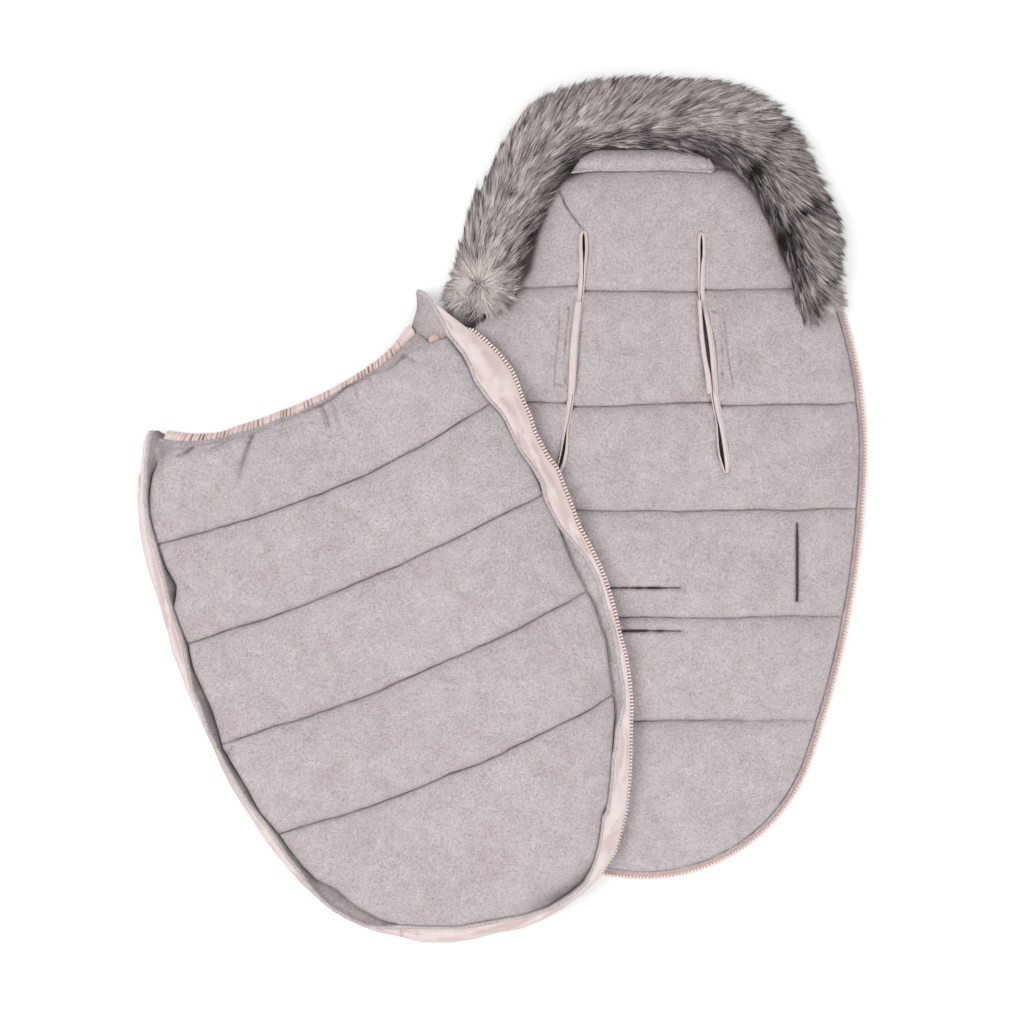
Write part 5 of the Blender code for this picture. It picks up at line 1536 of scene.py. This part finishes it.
# Where the lining ends above its top edge, behind the casing and the stud
LINING_END = (
    (456, 343), (446, 337), (440, 340), (434, 342), (426.7, 341), (418.7, 340), (412, 337),
    *CASING_INNER[1:],
)
# Creases in the cover's lining: their points, depth in mm and width in mm, each also painted
# darker as shade along its line.
COVER_CREASES = (
    (((252, 434), (248, 443), (244, 455), (240.5, 466), (237, 480), (236, 490)), 5.6, 3.2),
    (((319, 404), (323, 410), (326, 417), (329, 427), (331, 438)), 4.6, 2.6),
    (((331, 399), (336, 414), (342, 430), (346, 442)), 1.8, 2.6),
    (((402, 354), (408, 357), (415, 361), (424, 364)), 3.2, 2.4),
    (((368, 375), (372, 384), (374, 396)), 1.6, 2.6),
    (((192.5, 447), (186, 451), (178, 455), (168, 457.5)), 4.4, 1.8),
    (((226, 440), (216, 446), (206, 450), (198, 452)), 2.4, 2.0),
    (((352, 382), (356, 390), (358, 400)), 2.0, 2.0),
    (((282, 421), (278, 431), (276, 444)), 1.3, 2.6),
    (((176, 586), (184, 588), (194, 592)), 2.6, 3.0),
    (((236, 745), (231, 752), (227, 760)), 3.0, 2.4),
)

# Lines of painted shade on the cover's lining: their points, darkness and width in mm
COVER_SHADES = (
    (((152, 436), (157, 445), (163, 449), (156, 458), (150, 468)), 0.42, 6.0),
    (((598, 866), (591, 876), (579, 887), (563, 897), (546, 904), (520, 912)), 0.62, 11.0),
    (((300, 413), (318, 406), (331, 399), (345, 387), (360, 380), (373, 373)), 0.62, 1.7),
    (((381, 371), (392, 366), (400, 358), (406, 354), (417, 348)), 0.5, 1.5),
    (((609, 815), (606, 832), (601, 852)), 0.22, 5.0),
)

# Folds in the gusset's fabric: their points, and how strongly painted shade darkens each
GUSSET_FOLD_SHADES = (
    (((500, 386), (502, 400), (509, 408), (515, 416), (520, 428), (526, 433)), 0.55),
    (((517, 428), (519, 440), (520, 450), (528, 458), (536, 468), (542, 478), (549, 492)), 0.6),
    (((534, 458), (536, 472), (542, 480)), 0.45),
    (((462, 340), (472, 341), (484, 345)), 0.22),
    (((484, 372), (492, 376), (500, 374)), 0.25),
    (((380, 928), (382, 938)), 0.5),
    (((400, 930), (402, 941)), 0.6),
    (((415.5, 932), (418, 938)), 0.35),
    (((611, 833), (615.6, 826), (618, 820)), 0.35),
    (((155, 588), (162, 593)), 0.3),
    (((160, 612), (169, 618)), 0.3),
)


def level_of(pixels, x):
    """Height in the cover's frame of a line that crosses it from right to left."""
    line = lifted_line(pixels, 0.012)[::-1]
    return np.interp(x, line[:, 0], line[:, 1])


def cover_lining():
    step = 2.9 * MM
    inset = 0.6 * MM
    brink = COVER_TOP[0] - 9 * MM
    seams = [COVER_TOP, *COVER_SEAMS]
    foot = float(COVER.point(-90.0, inset)[1])
    rows = row_list(
        COVER, inset, seams, None, foot, (None, COVER_FOOT_DEG), step, [(brink, 1.0 * MM)]
    )
    edge = np.array([0, 0.7, 1.5, 2.4, 3.5, 5, 7, 10]) * MM
    x = []
    for row in rows:
        inner = np.linspace(-row[1] + edge[-1], row[1] - edge[-1], 170)[1:-1]
        x.append(np.concatenate([-row[1] + edge, inner, row[1] - edge[::-1]]))
    x = np.array(x)
    y = grid_y(rows, x)
    height = np.array([row[0] for row in rows])[:, None]

    # The rows near the top follow its bulges, and go on to under the casing.
    edge_y = level_of(TOP_EDGE, x)
    end_y = np.maximum(edge_y + 1 * MM, level_of(LINING_END, x) + 4 * MM)
    level = brink + (COVER_TOP[1] - COVER_TOP[0]) * (x / COVER_TOP_END) ** 2
    follow = smooth((height - 0.585) / (brink - 0.585)) * (edge_y - level)
    past = clamp((height - brink) / (COVER_TOP[0] - brink))
    y = np.where(height <= brink, y + follow, edge_y + past * (end_y - edge_y))
    wide = np.array([row[1] for row in rows])[:, None]
    heights = np.linspace(0.45, COVER_TOP[1], 60)
    widths = [COVER.half_width(level, inset) for level in heights]
    grown = np.interp(np.where(x < 0, y[:, :1], y[:, -1:]), heights, widths) / wide
    grown = np.where(height > 0.5, grown, 1.0)
    x, wide = x * grown, wide * grown
    depth = np.where(y > 0.55, wide - np.abs(x), COVER.depth(x, np.minimum(y, 0.70)))
    nearest = np.full(x.shape, 9.0)
    for middle, side in COVER_SEAMS:
        off_seam = y - middle - (side - middle) * (x / COVER_SEAM_END) ** 2
        nearest = np.minimum(nearest, np.abs(off_seam))
    shape = SEAM_SHARE + (1 - SEAM_SHARE) * roll(nearest / ROLL_OFF)
    side_roll = roll((depth + 1 * MM) / ROLL_OFF)
    below = np.maximum(edge_y - y, 0) * (height <= brink)
    gather = layers(x, y * 0.15, 0.024, 171, 3)
    top_roll = roll((below + 0.6 * MM) / (0.026 + 0.008 * gather))
    z = COVER_RIM + (COVER_CROWN - COVER_RIM) * side_roll * top_roll * shape
    z += 1.2 * MM * gather * bump(below - 12 * MM, 10 * MM)
    stud_x, stud_y = lifted_line(((437, 347),), 0.018)[0]
    z += 5.5 * MM * bump(np.hypot(x - stud_x, y - stud_y), 11 * MM)
    z += past * (1 - past) * 4 * (1.6 * MM + 1.2 * MM * layers(x, y, 0.009, 174, 2))
    inward = smooth((depth - 2 * MM) / 0.03)
    z += inward * (1.3 * MM * layers(x, y, 0.08, 111) + 0.5 * MM * layers(x, y, 0.02, 115))
    pucker = layers(x, y * 0.25, 0.009, 121)
    z += 0.55 * MM * pucker * bump(nearest - 4 * MM, 5 * MM) * inward
    z -= (1.9 * MM * bump(nearest, 1.1 * MM) * (1 + 0.35 * pucker)
          + 1.6 * MM * bump(nearest, 4.2 * MM))
    # Painted shade along the seams' grooves.
    uneven = clamp(0.8 + 0.35 * layers(x, y * 0.1, 0.016, 133))
    painted_shade = SEAM_PAINTED_SHADE * uneven * bump(nearest, 0.8 * MM) * smooth(depth / 0.004)
    for pixels, deep, width in COVER_CREASES:
        away, _, along = from_line(x, y, lifted_line(pixels, 0.018))
        fade = smooth((1 - along) * 2.2) * smooth(along * 8 + 0.5)
        z -= deep * MM * bump(away, width * MM * (0.7 + 0.9 * along)) * fade
        z += 0.9 * MM * bump(away - 8 * MM, 6 * MM) * fade
        # Painted shade along each crease.
        painted_shade = np.maximum(painted_shade, 0.11 * deep * bump(away, 1.3 * MM) * fade)
    # Painted shade in a line at the lining's top edge under the casing, and over the part tucked
    # behind the casing.
    painted_shade = np.maximum(painted_shade, 0.5 * bump((height - brink) + 0 * x, 1.0 * MM))
    painted_shade = np.maximum(painted_shade, 0.22 * smooth(past * 3))
    shift = np.zeros_like(y)
    for k, (middle, _) in enumerate(COVER_SEAMS):
        shift += bump(height - middle, 0.016) * seam_wobble(x, 130 + 3 * k, 1.5 * MM)
    y = y + shift * inward

    # The outline follows the photograph where the lining is drawn in from its cut edge.
    share, nx, ny = share_at(x, np.minimum(y, 0.70))
    pull = np.interp(share, ROUND_SHARE, PANEL_REACH) + inset
    pull = np.clip(pull, -13 * MM, 23 * MM) * smooth((0.712 - y) / 0.03)
    fade = (1 - smooth(depth / 0.034)) * pull
    x, y = x + nx * fade, y + ny * fade
    under = drape(x, y)
    made = slab(
        "cover_plush_lining_panel", *from_cover(x, y), z + under, under + 1.6 * MM,
        LOOKS["cover_plush"], "front_cover",
    )
    # Painted shade round the lining's outline, along the COVER_SHADES lines, and on the underside.
    painted_shade = np.maximum(painted_shade, 0.3 * (1 - smooth(depth / 0.004)))
    for pixels, dark, width in COVER_SHADES:
        away, _, along = from_line(x, y, lifted_line(pixels, 0.009))
        fade = smooth(along * 3 + 0.3) * smooth((1 - along) * 2 + 0.2)
        painted_shade = np.maximum(painted_shade, dark * bump(away, width * MM) * fade)
    set_painted_shade(made, np.concatenate([painted_shade.ravel(), np.full(painted_shade.size, 0.85)]))
    names = ("top", "upper", "middle", "lower", "foot")
    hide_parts("cover_lining", *(f"cover_wadding_{name}" for name in names))


def cover_shell():
    foot = float(COVER.point(-90.0)[1])
    rows = row_list(
        COVER, 0.0, [COVER_TOP, *COVER_SEAMS], None, foot, (None, COVER_FOOT_DEG), 8 * MM
    )
    share = np.linspace(-1, 1, 70)
    x = np.array([row[1] * share for row in rows])
    y = grid_y(rows, x)
    height = np.array([row[0] for row in rows])[:, None]
    level = COVER_TOP[0] + (COVER_TOP[1] - COVER_TOP[0]) * (x / COVER_TOP_END) ** 2
    y += smooth((height - 0.62) / (COVER_TOP[0] - 0.62)) * (
        level_of(CASING_INNER, x) + 2 * MM - level
    )
    z = drape(x, y)
    made = slab(
        "cover_shell_fabric", *from_cover(x, y), z + 1.1 * MM, z + 0.4 * MM, LOOKS["pink"],
        "front_cover",
    )
    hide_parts("cover_outer_shell")


def strip(name, out, rise, thick, look):
    """A closed strip round the cover through points out along the normal and up.

    out and rise have a row for each point round the cover and a column for each stop
    across the strip; thick gives how far the two faces lie from that line."""
    base = np.stack([ROUND_X, ROUND_Y], 1)
    plan = base[:, None] + ROUND_NORMAL[:, None] * out[..., None]
    wx, wy = from_cover(plan[..., 0], plan[..., 1])
    line = np.stack([wx, wy, rise + drape(ROUND_X, ROUND_Y)[:, None]], -1)
    away = unit(np.cross(np.gradient(line, axis=0), np.gradient(line, axis=1)))
    near, far = line + away * thick[0], line + away * thick[1]
    rings = np.concatenate([near, far[:, ::-1]], 1)
    return loft(name, rings, look, "front_cover"), line


def gusset():
    run = ROUND_RUN
    tuck = between(TUCK, ROUND_SHARE)
    panel_out, lip_out, outer = PANEL_REACH, LIP_REACH, OUTER_REACH
    lip_out = np.maximum(lip_out, panel_out + 2.0 * MM)
    outer = np.maximum(outer, lip_out + 2.2 * MM)
    lip_rise = between(LIP_RISE, ROUND_SHARE) * MM + 1.0 * MM * layers(run, 0, 0.045, 181, 2)
    outer_rise = between(OUTER_RISE, ROUND_SHARE) * MM + 0.9 * MM * layers(run, 0, 0.06, 183, 2)
    jitter = 0.35 * MM * noise(run, 0, 2.6 * MM, 185)

    # Plush strip: a shaded inner wall, then the lip rolled over
    wide = (lip_out - panel_out)[:, None]
    lip_wide = np.minimum(wide, 3.4 * MM)
    wall = wide - lip_wide
    out = panel_out[:, None] + np.concatenate([
        wall * np.array([[0, 0.35, 0.7, 1.0]]), wall + lip_wide * np.array([[0.15, 0.4, 0.7, 1.0]])
    ], 1)
    part = np.array([[0, 0.14, 0.34, 0.60, 0.82, 0.95, 1.0, 0.96]])
    low = smooth((0.06 - ROUND_SHARE) / 0.02)[:, None]
    part = part - low * np.array([[0, 0.09, 0.19, 0.15, 0, 0, 0, 0]])
    rise = BASE_RISE + (lip_rise[:, None] - BASE_RISE) * part
    fold = layers(run[:, None] * 0.8 + 0 * out, out, 0.014, 187, 2)
    rise = rise + 1.6 * MM * fold * np.sin(part * math.pi) * clamp(wall / (5 * MM))
    rise[:, -2:] += jitter[:, None]
    last_out = out[:, -1:] + np.array([[0.9, 1.3]]) * MM
    last_rise = rise[:, -1:] - np.array([[0.5, 1.8]]) * MM
    lead = smooth((ROUND_SHARE - 0.042) / 0.012) * smooth((0.985 - ROUND_SHARE) / 0.015)
    lead = (0.4 + 7.6 * lead[:, None]) * MM
    plush_out = np.concatenate([out[:, :1] - lead, out, last_out], 1)
    plush_rise = np.concatenate([0 * rise[:, :1] + 2.4 * MM, rise, last_rise], 1)
    plush, _ = strip("gusset_plush_band", plush_out, plush_rise, (-1.5 * MM, 0.35 * MM),
                     LOOKS["lip"])
    # Painted shade on the plush band: strongest low on the inner wall, none on the lip, and a
    # black spot of painted shade at one gap on the left.
    shade_in = between(WALL_SHADE, ROUND_SHARE)[:, None]
    deep = shade_in * np.array([[1.2, 1.15, 0.85, 0.65, 0.42, 0.12, 0, 0, 0.05, 0.2, 0.4]])
    deep = clamp(deep * (1 + 0.35 * np.concatenate([fold[:, :1], fold, fold[:, :2]], 1)))
    gap_x, gap_y = lifted_line(((173.2, 586.6),), 0.009)[0]
    away = np.hypot(ROUND_X[:, None] + ROUND_NORMAL[:, :1] * plush_out - gap_x,
                    ROUND_Y[:, None] + ROUND_NORMAL[:, 1:] * plush_out - gap_y)
    deep = np.maximum(deep, 1.0 * bump(away, 2.9 * MM))
    set_painted_shade(plush, np.concatenate([deep, deep[:, ::-1]], 1).ravel())
    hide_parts("gusset_lining")

    # Fabric strip: up behind the plush, then out and down from the lip
    back_steps = (2, 4, 6, 7)
    behind_out = plush_out[:, back_steps] + 1.9 * MM
    behind_rise = plush_rise[:, back_steps] - 1.9 * MM
    behind_rise = np.maximum(behind_rise, 1.2 * MM)
    start_out, start_rise = plush_out[:, 8] + 1.2 * MM, plush_rise[:, 8] - 0.9 * MM
    end_out = outer - (1 - tuck) * 4.8 * MM - tuck * 0.6 * MM
    end_out = np.maximum(end_out, start_out + 0.8 * MM)
    band = (end_out - start_out)[:, None]
    near_rim = np.array([[0.0, 0.9, 1.9, 2.5, 3.0, 3.5]]) * MM
    near_rim = np.minimum(near_rim, band * np.array([[0, 0.06, 0.12, 0.18, 0.24, 0.3]]))
    u = near_rim / band
    u = np.concatenate([u, u[:, -1:] + (1 - u[:, -1:]) * np.array([[0.2, 0.4, 0.6, 0.8, 1.0]])], 1)
    pink_out = start_out[:, None] + band * u
    soft = np.clip(band / (14 * MM), 0.15, 1)
    crease = layers(run[:, None] * 0.55 - pink_out * 0.9, pink_out * 1.6, 0.016, 191)
    ridge = 1 - np.abs(layers(run[:, None] * 0.4 + pink_out * 0.6, pink_out * 2.2, 0.020, 195, 2))
    bulge = (1.6 + 2.5 * crease + 2.2 * (ridge - 0.6)) * MM * soft
    pink_rise = (
        start_rise[:, None] + (outer_rise - start_rise)[:, None] * (1.2 * u**1.5 - 0.2 * u**3)
        + bulge * np.sin(math.pi * clamp(u, 0, 0.9999)) ** 0.8
    )
    under_out = outer[:, None] - tuck[:, None] * np.array([[0.0, 1.2]]) * MM
    under_out = np.maximum(under_out, end_out[:, None] - tuck[:, None] * 2 * MM)
    under_rise = outer_rise[:, None] - tuck[:, None] * np.array([[2.2, 5.2]]) * MM
    flat = (1 - tuck)[:, None]
    under_out = under_out * tuck[:, None] + flat * (end_out[:, None] + np.array([[0.2, 0.4]]) * MM)
    under_rise -= flat * np.array([[0.1, 0.3]]) * MM
    fabric_out = np.concatenate([behind_out, pink_out, under_out], 1)
    fabric_rise = np.concatenate([behind_rise, pink_rise, under_rise], 1)
    pink, _ = strip("gusset_fabric_band", fabric_out, fabric_rise, (-0.35 * MM, 0.35 * MM),
                    LOOKS["gusset"])
    # Painted shade on the gusset's fabric: in the folds of its noise, along its rim, along the
    # listed folds, and behind the plush.
    dark = np.clip((0.66 - ridge) * 1.4, 0, 0.34) * np.sin(math.pi * clamp(u, 0, 0.9999)) ** 0.6
    dark[:, 0] = 0.2
    dark[:, 4] += 0.2
    dark[:, -1] += 0.12
    pink_x = ROUND_X[:, None] + ROUND_NORMAL[:, :1] * pink_out
    pink_y = ROUND_Y[:, None] + ROUND_NORMAL[:, 1:] * pink_out
    for pixels, deep in GUSSET_FOLD_SHADES:
        away, _, along = from_line(pink_x, pink_y, lifted_line(pixels, 0.012))
        fade = smooth(along * 6 + 0.3) * smooth((1 - along) * 6 + 0.3)
        dark = np.maximum(dark, 0.8 * deep * bump(away, 2.1 * MM) * fade)
    dark = np.concatenate([np.full((len(run), 4), 0.2), dark, np.full((len(run), 2), 0.0)], 1)
    set_painted_shade(pink, np.concatenate([dark, dark[:, ::-1]], 1).ravel())
    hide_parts("gusset_outer")

    # Zip: its tape comes out from under the fabric, or is turned under with it
    t = np.array([0.0, 0.35, 0.7, 1.0])[None]
    flat_from, flat_to = outer - 7.0 * MM, outer - 2.2 * MM
    turned_from, turned_to = outer - 1.4 * MM, outer - 4.2 * MM
    hidden = 1 - smooth((run - run[0] - 0.070) / 0.010) * smooth((run[-1] - run - 0.044) / 0.010)
    a = flat_from * (1 - tuck) + turned_from * tuck
    b = flat_to * (1 - tuck) + turned_to * tuck - 4.0 * MM * hidden
    a = np.maximum(a, start_out * hidden + a * (1 - hidden))
    b = np.maximum(b, (a + 0.6 * MM) * hidden + b * (1 - hidden))
    a_rise = outer_rise - 0.9 * MM * (1 - tuck) - 4.8 * MM * tuck - 3.5 * MM * hidden
    b_rise = outer_rise - 0.5 * MM * (1 - tuck) - 9.3 * MM * tuck - 3.5 * MM * hidden
    b_rise = np.maximum(b_rise, 2.6 * MM)
    tape_out = a[:, None] + (b - a)[:, None] * t
    tape_rise = a_rise[:, None] + (b_rise - a_rise)[:, None] * t
    tape, line = strip("cover_zip_tape_woven", tape_out, tape_rise, (-0.3 * MM, 0.3 * MM),
                       LOOKS["tape"])
    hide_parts("cover_zip_tape")

    rim = line[:, -1]
    out = line[:, -1] - line[:, -2]
    travel = travelled(rim)

    def along_zip(at):
        centre = np.stack([np.interp(at, travel, rim[:, k]) for k in range(3)], 1)
        outward = unit(np.stack([np.interp(at, travel, out[:, k]) for k in range(3)], 1))
        return centre, outward, unit(np.cross(outward, directions(centre)))

    first, last = 0.077, travel[-1] - 0.052
    centre, outward, up = along_zip(np.arange(first, last, TOOTH_PITCH))
    made = teeth_mesh(
        "cover_zip_teeth_row", centre, np.cross(up, outward), outward, up,
        LOOKS["teeth"], "front_cover",
    )
    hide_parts("cover_zip_teeth")
    for name, at, node, size in (
        ("cover_zip_end_pin", first - 20 * MM, "cover_zip_pin", (8, 2.4, 2.2)),
        ("cover_zip_end_stop", last + 12 * MM, "cover_zip_stop", (4, 2.8, 2.4)),
    ):
        spots = at + np.linspace(-0.5, 0.5, 7) * size[0] * MM
        centre, outward, up = along_zip(spots)
        centre = centre + outward * 1.2 * MM
        rings = []
        for turn in np.radians(np.arange(10) * 36):
            grow = np.array([0.6, 0.92, 1, 1, 1, 0.92, 0.6])[:, None] * MM / 2
            rings.append(centre + outward * math.cos(turn) * size[1] * grow * 1.1
                         + up * math.sin(turn) * size[2] * grow)
        made = loft(name, np.stack(rings, 1), LOOKS["metal"], "front_cover")
        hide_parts(node)


def casing():
    """The ruffled casing of the cover's top edge, and the elastic in it."""
    count = 900
    outer = lifted_line(CASING_OUTER, 0.012)
    inner = lifted_line(CASING_INNER, 0.012)
    share = np.linspace(0, 1, count)

    def evenly(line):
        run = travelled(line)
        made = np.stack([np.interp(share * run[-1], run, line[:, k]) for k in range(2)], 1)
        kernel = np.ones(25) / 25
        return np.stack(
            [np.convolve(np.pad(made[:, k], 12, mode="edge"), kernel, "valid") for k in range(2)],
            1,
        )

    outer, inner = evenly(outer), evenly(inner)
    run = share * 0.345
    warp = run + 2.4 * MM * noise(run, 0, 0.010, 161)
    ruffle = np.sin(2 * math.pi * warp / (5.4 * MM)) * (0.85 + 0.75 * noise(run, 0, 0.009, 162))
    ruffle += 0.55 * noise(run, 0, 1.7 * MM, 163) + 0.3 * noise(run, 0, 0.9 * MM, 164)
    ends = smooth((0.045 - share) / 0.02) + smooth((share - 0.955) / 0.02)
    ruffle = ruffle * (1 - 0.88 * clamp(ends))
    wander = 0.8 * MM * noise(run, 0, 0.020, 165)
    across = np.linspace(0, 1, 11)
    rings = []
    shade = []
    for t in across:
        slant = (1.5 * MM + 3.0 * MM * noise(run, 0, 0.016, 166)) * (t - 0.5)
        lean = np.interp(run + slant, run, ruffle)
        at = outer * (1 - t) + inner * t
        at = at + unit(outer - inner) * (wander + (0.55 * MM * lean if t < 0.15 else 0))[:, None]
        arch = math.sin(math.pi * (0.10 + 0.80 * t))
        rings.append(over_cover(at, 4 * MM + 9 * MM * arch + 1.7 * MM * lean * arch))
        shade.append(clamp(-0.85 * lean - 0.16, 0, 0.85) + (0.35 if t > 0.93 else 0))
    for t in (1.0, 0.5, 0.0):
        rings.append(over_cover(outer * (1 - t) + inner * t, 2.0 * MM))
        shade.append(np.full(count, 0.5))
    rings = np.stack(rings, 1)
    made = loft("cover_top_ruffle", rings, LOOKS["casing"], "front_cover")
    set_painted_shade(made, np.stack(shade, 1).ravel())
    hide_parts("cover_top_casing")
    line = over_cover((outer + inner)[::10] / 2, 5.6 * MM)
    side = np.cross(directions(line), (0, 0, 1.0))
    rings = []
    for a, u in ((-3.4, -0.5), (3.4, -0.5), (3.4, 0.5), (-3.4, 0.5)):
        rings.append(line + side * a * MM + np.array([0, 0, u * MM]))
    made = loft("cover_elastic_band", np.stack(rings, 1), LOOKS["elastic"], "front_cover")
    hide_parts("cover_top_elastic")


# Stage

# How much the paper glows of itself near the part, and at its edge, far from the lamps
FLOOR_GLOW = 0.30
FLOOR_GLOW_FAR = 0.66
FLOOR_HALF = 6
WORLD_LIGHT = 0.56
LAMPS = (("key", (-2.4, 0.3, 2.9), 2.0, 54), ("fill", (1.1, -1.4, 1.9), 2.2, 24))
LAMP_AIM = (-0.15, 0.1, 0.0)


def floor_look():
    """White floor, its colour painted dark as shade only where it is closely hemmed in: under the
    part's edge and in narrow openings.
    """
    look = bpy.data.materials.new("paper_floor")
    look.use_nodes = True
    tree = look.node_tree
    nodes, links = tree.nodes, tree.links
    diffuse = nodes["Principled BSDF"]
    diffuse.inputs["Roughness"].default_value = 1.0
    diffuse.inputs["Specular IOR Level"].default_value = 0.0
    diffuse.inputs["Emission Color"].default_value = (1, 1, 1, 1)
    near = nodes.new("ShaderNodeAmbientOcclusion")
    near.inputs["Distance"].default_value = 0.03
    near.samples = 8
    # Painted shade: where ambient occlusion is low the floor's colour, and the glow that follows
    # it, turns near black.
    paper_and_painted_shade = nodes.new("ShaderNodeValToRGB")
    for stop, place, colour in zip(
        paper_and_painted_shade.color_ramp.elements, (0.12, 0.38), ((0.012, 0.010, 0.010), (0.90, 0.90, 0.905))
    ):
        stop.position = place
        stop.color = (*colour, 1)
    links.new(near.outputs["AO"], paper_and_painted_shade.inputs["Fac"])
    links.new(paper_and_painted_shade.outputs["Color"], diffuse.inputs["Base Color"])
    place = nodes.new("ShaderNodeTexCoord").outputs["Object"]
    spread = nodes.new("ShaderNodeMapRange")
    links.new(wired(tree, "ShaderNodeVectorMath", "LENGTH", place).outputs["Value"],
              spread.inputs["Value"])
    for name, value in (
        ("From Min", 1.0), ("From Max", 3.0), ("To Min", FLOOR_GLOW), ("To Max", FLOOR_GLOW_FAR),
    ):
        spread.inputs[name].default_value = value
    ray = nodes.new("ShaderNodeLightPath").outputs
    seen = wired(tree, "ShaderNodeMath", "MAXIMUM", ray["Is Camera Ray"], ray["Is Glossy Ray"])
    full = wired(
        tree, "ShaderNodeMath", "MULTIPLY", paper_and_painted_shade.outputs["Color"], spread.outputs["Result"]
    )
    glow = wired(tree, "ShaderNodeMath", "MULTIPLY", seen.outputs[0], full.outputs[0])
    links.new(glow.outputs[0], diffuse.inputs["Emission Strength"])
    return look


def stage():
    half = FLOOR_HALF
    mesh = bpy.data.meshes.new("floor")
    corners = [(-half, -half, 0), (half, -half, 0), (half, half, 0), (-half, half, 0)]
    mesh.from_pydata(corners, [], [(0, 1, 2, 3)])
    mesh.materials.append(floor_look())
    linked("floor", mesh)

    world = bpy.data.worlds.new("studio")
    world.use_nodes = True
    tree = world.node_tree
    sky = tree.nodes["Background"].inputs
    sky["Color"].default_value = (1.0, 0.995, 0.99, 1)
    ray = tree.nodes.new("ShaderNodeLightPath").outputs
    shown = wired(
        tree, "ShaderNodeMath", "MAXIMUM", ray["Is Camera Ray"], ray["Is Transmission Ray"]
    )
    strength = wired(
        tree, "ShaderNodeMath", "MULTIPLY_ADD", shown.outputs[0], 1 - WORLD_LIGHT, WORLD_LIGHT
    )
    tree.links.new(strength.outputs[0], sky["Strength"])
    bpy.context.scene.world = world
    for name, place, size, power in LAMPS:
        light = bpy.data.lights.new(name, "AREA")
        light.size = size
        light.energy = power
        made = linked(name, light)
        made.location = place
        aim = np.array(LAMP_AIM) - np.array(place)
        tilt = math.atan2(math.hypot(aim[0], aim[1]), -aim[2])
        made.rotation_euler = (tilt, 0, math.atan2(aim[1], aim[0]) - math.pi / 2)
    bpy.context.scene.view_settings.view_transform = "Standard"

    camera = bpy.data.cameras.new("camera")
    camera.lens = 120
    camera.sensor_width = 36
    camera.clip_end = 50
    made = linked("camera", camera)
    made.location = (*CAMERA_XY, CAMERA_HEIGHT)
    bpy.context.scene.camera = made


# Radius and height of the stud's rings, in mm
STUD_CAP = (
    (5.6, 0), (6.7, 0.2), (6.9, 0.8), (6.7, 1.35), (6.0, 1.7), (3.2, 1.95), (0.4, 2.0),
)
STUD_SOCKET = ((1.0, -2.4), (4.2, -2.4), (4.7, -2.1), (4.7, -0.6), (4.2, -0.3), (1.0, -0.3))


def press_stud():
    """The stud's cap inside the right wing, its lower half behind the lining's edge."""
    middle = lifted_line(((433.9, 339.4),), 0.011)[0]
    ground = float(drape(*middle)) + 5.2 * MM
    wx, wy = from_cover(*middle)
    angle = np.linspace(0, 2 * math.pi, 41)[:-1]
    for name, profile, look, node in (
        ("press_stud_cap", STUD_CAP, "cap", "snap_cap"),
        ("press_stud_socket", STUD_SOCKET, "metal", "snap_socket"),
    ):
        rings = [
            np.stack([
                wx + radius * MM * np.cos(angle), wy + radius * MM * np.sin(angle),
                np.full(40, ground + z * MM),
            ], 1)
            for radius, z in profile
        ]
        made = loft(name, np.stack(rings), LOOKS[look], "front_cover")
        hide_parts(node)


def carried_over():
    """Materials of the CAD nodes that stay as they are."""
    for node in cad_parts.values():
        if node.hide_render:
            continue
        node.data.materials.clear()
        node.data.materials.append(LOOKS["metal"])


stage()
back_lining()
back_shell()
for which, line in ((1, LIPS_RIGHT), (-1, LIPS_LEFT)):
    binding(which, line)
closing_tabs()
loop_patches()
back_zip()
fur()
brim_lip()
cover_lining()
cover_shell()
gusset()
casing()
press_stud()
carried_over()
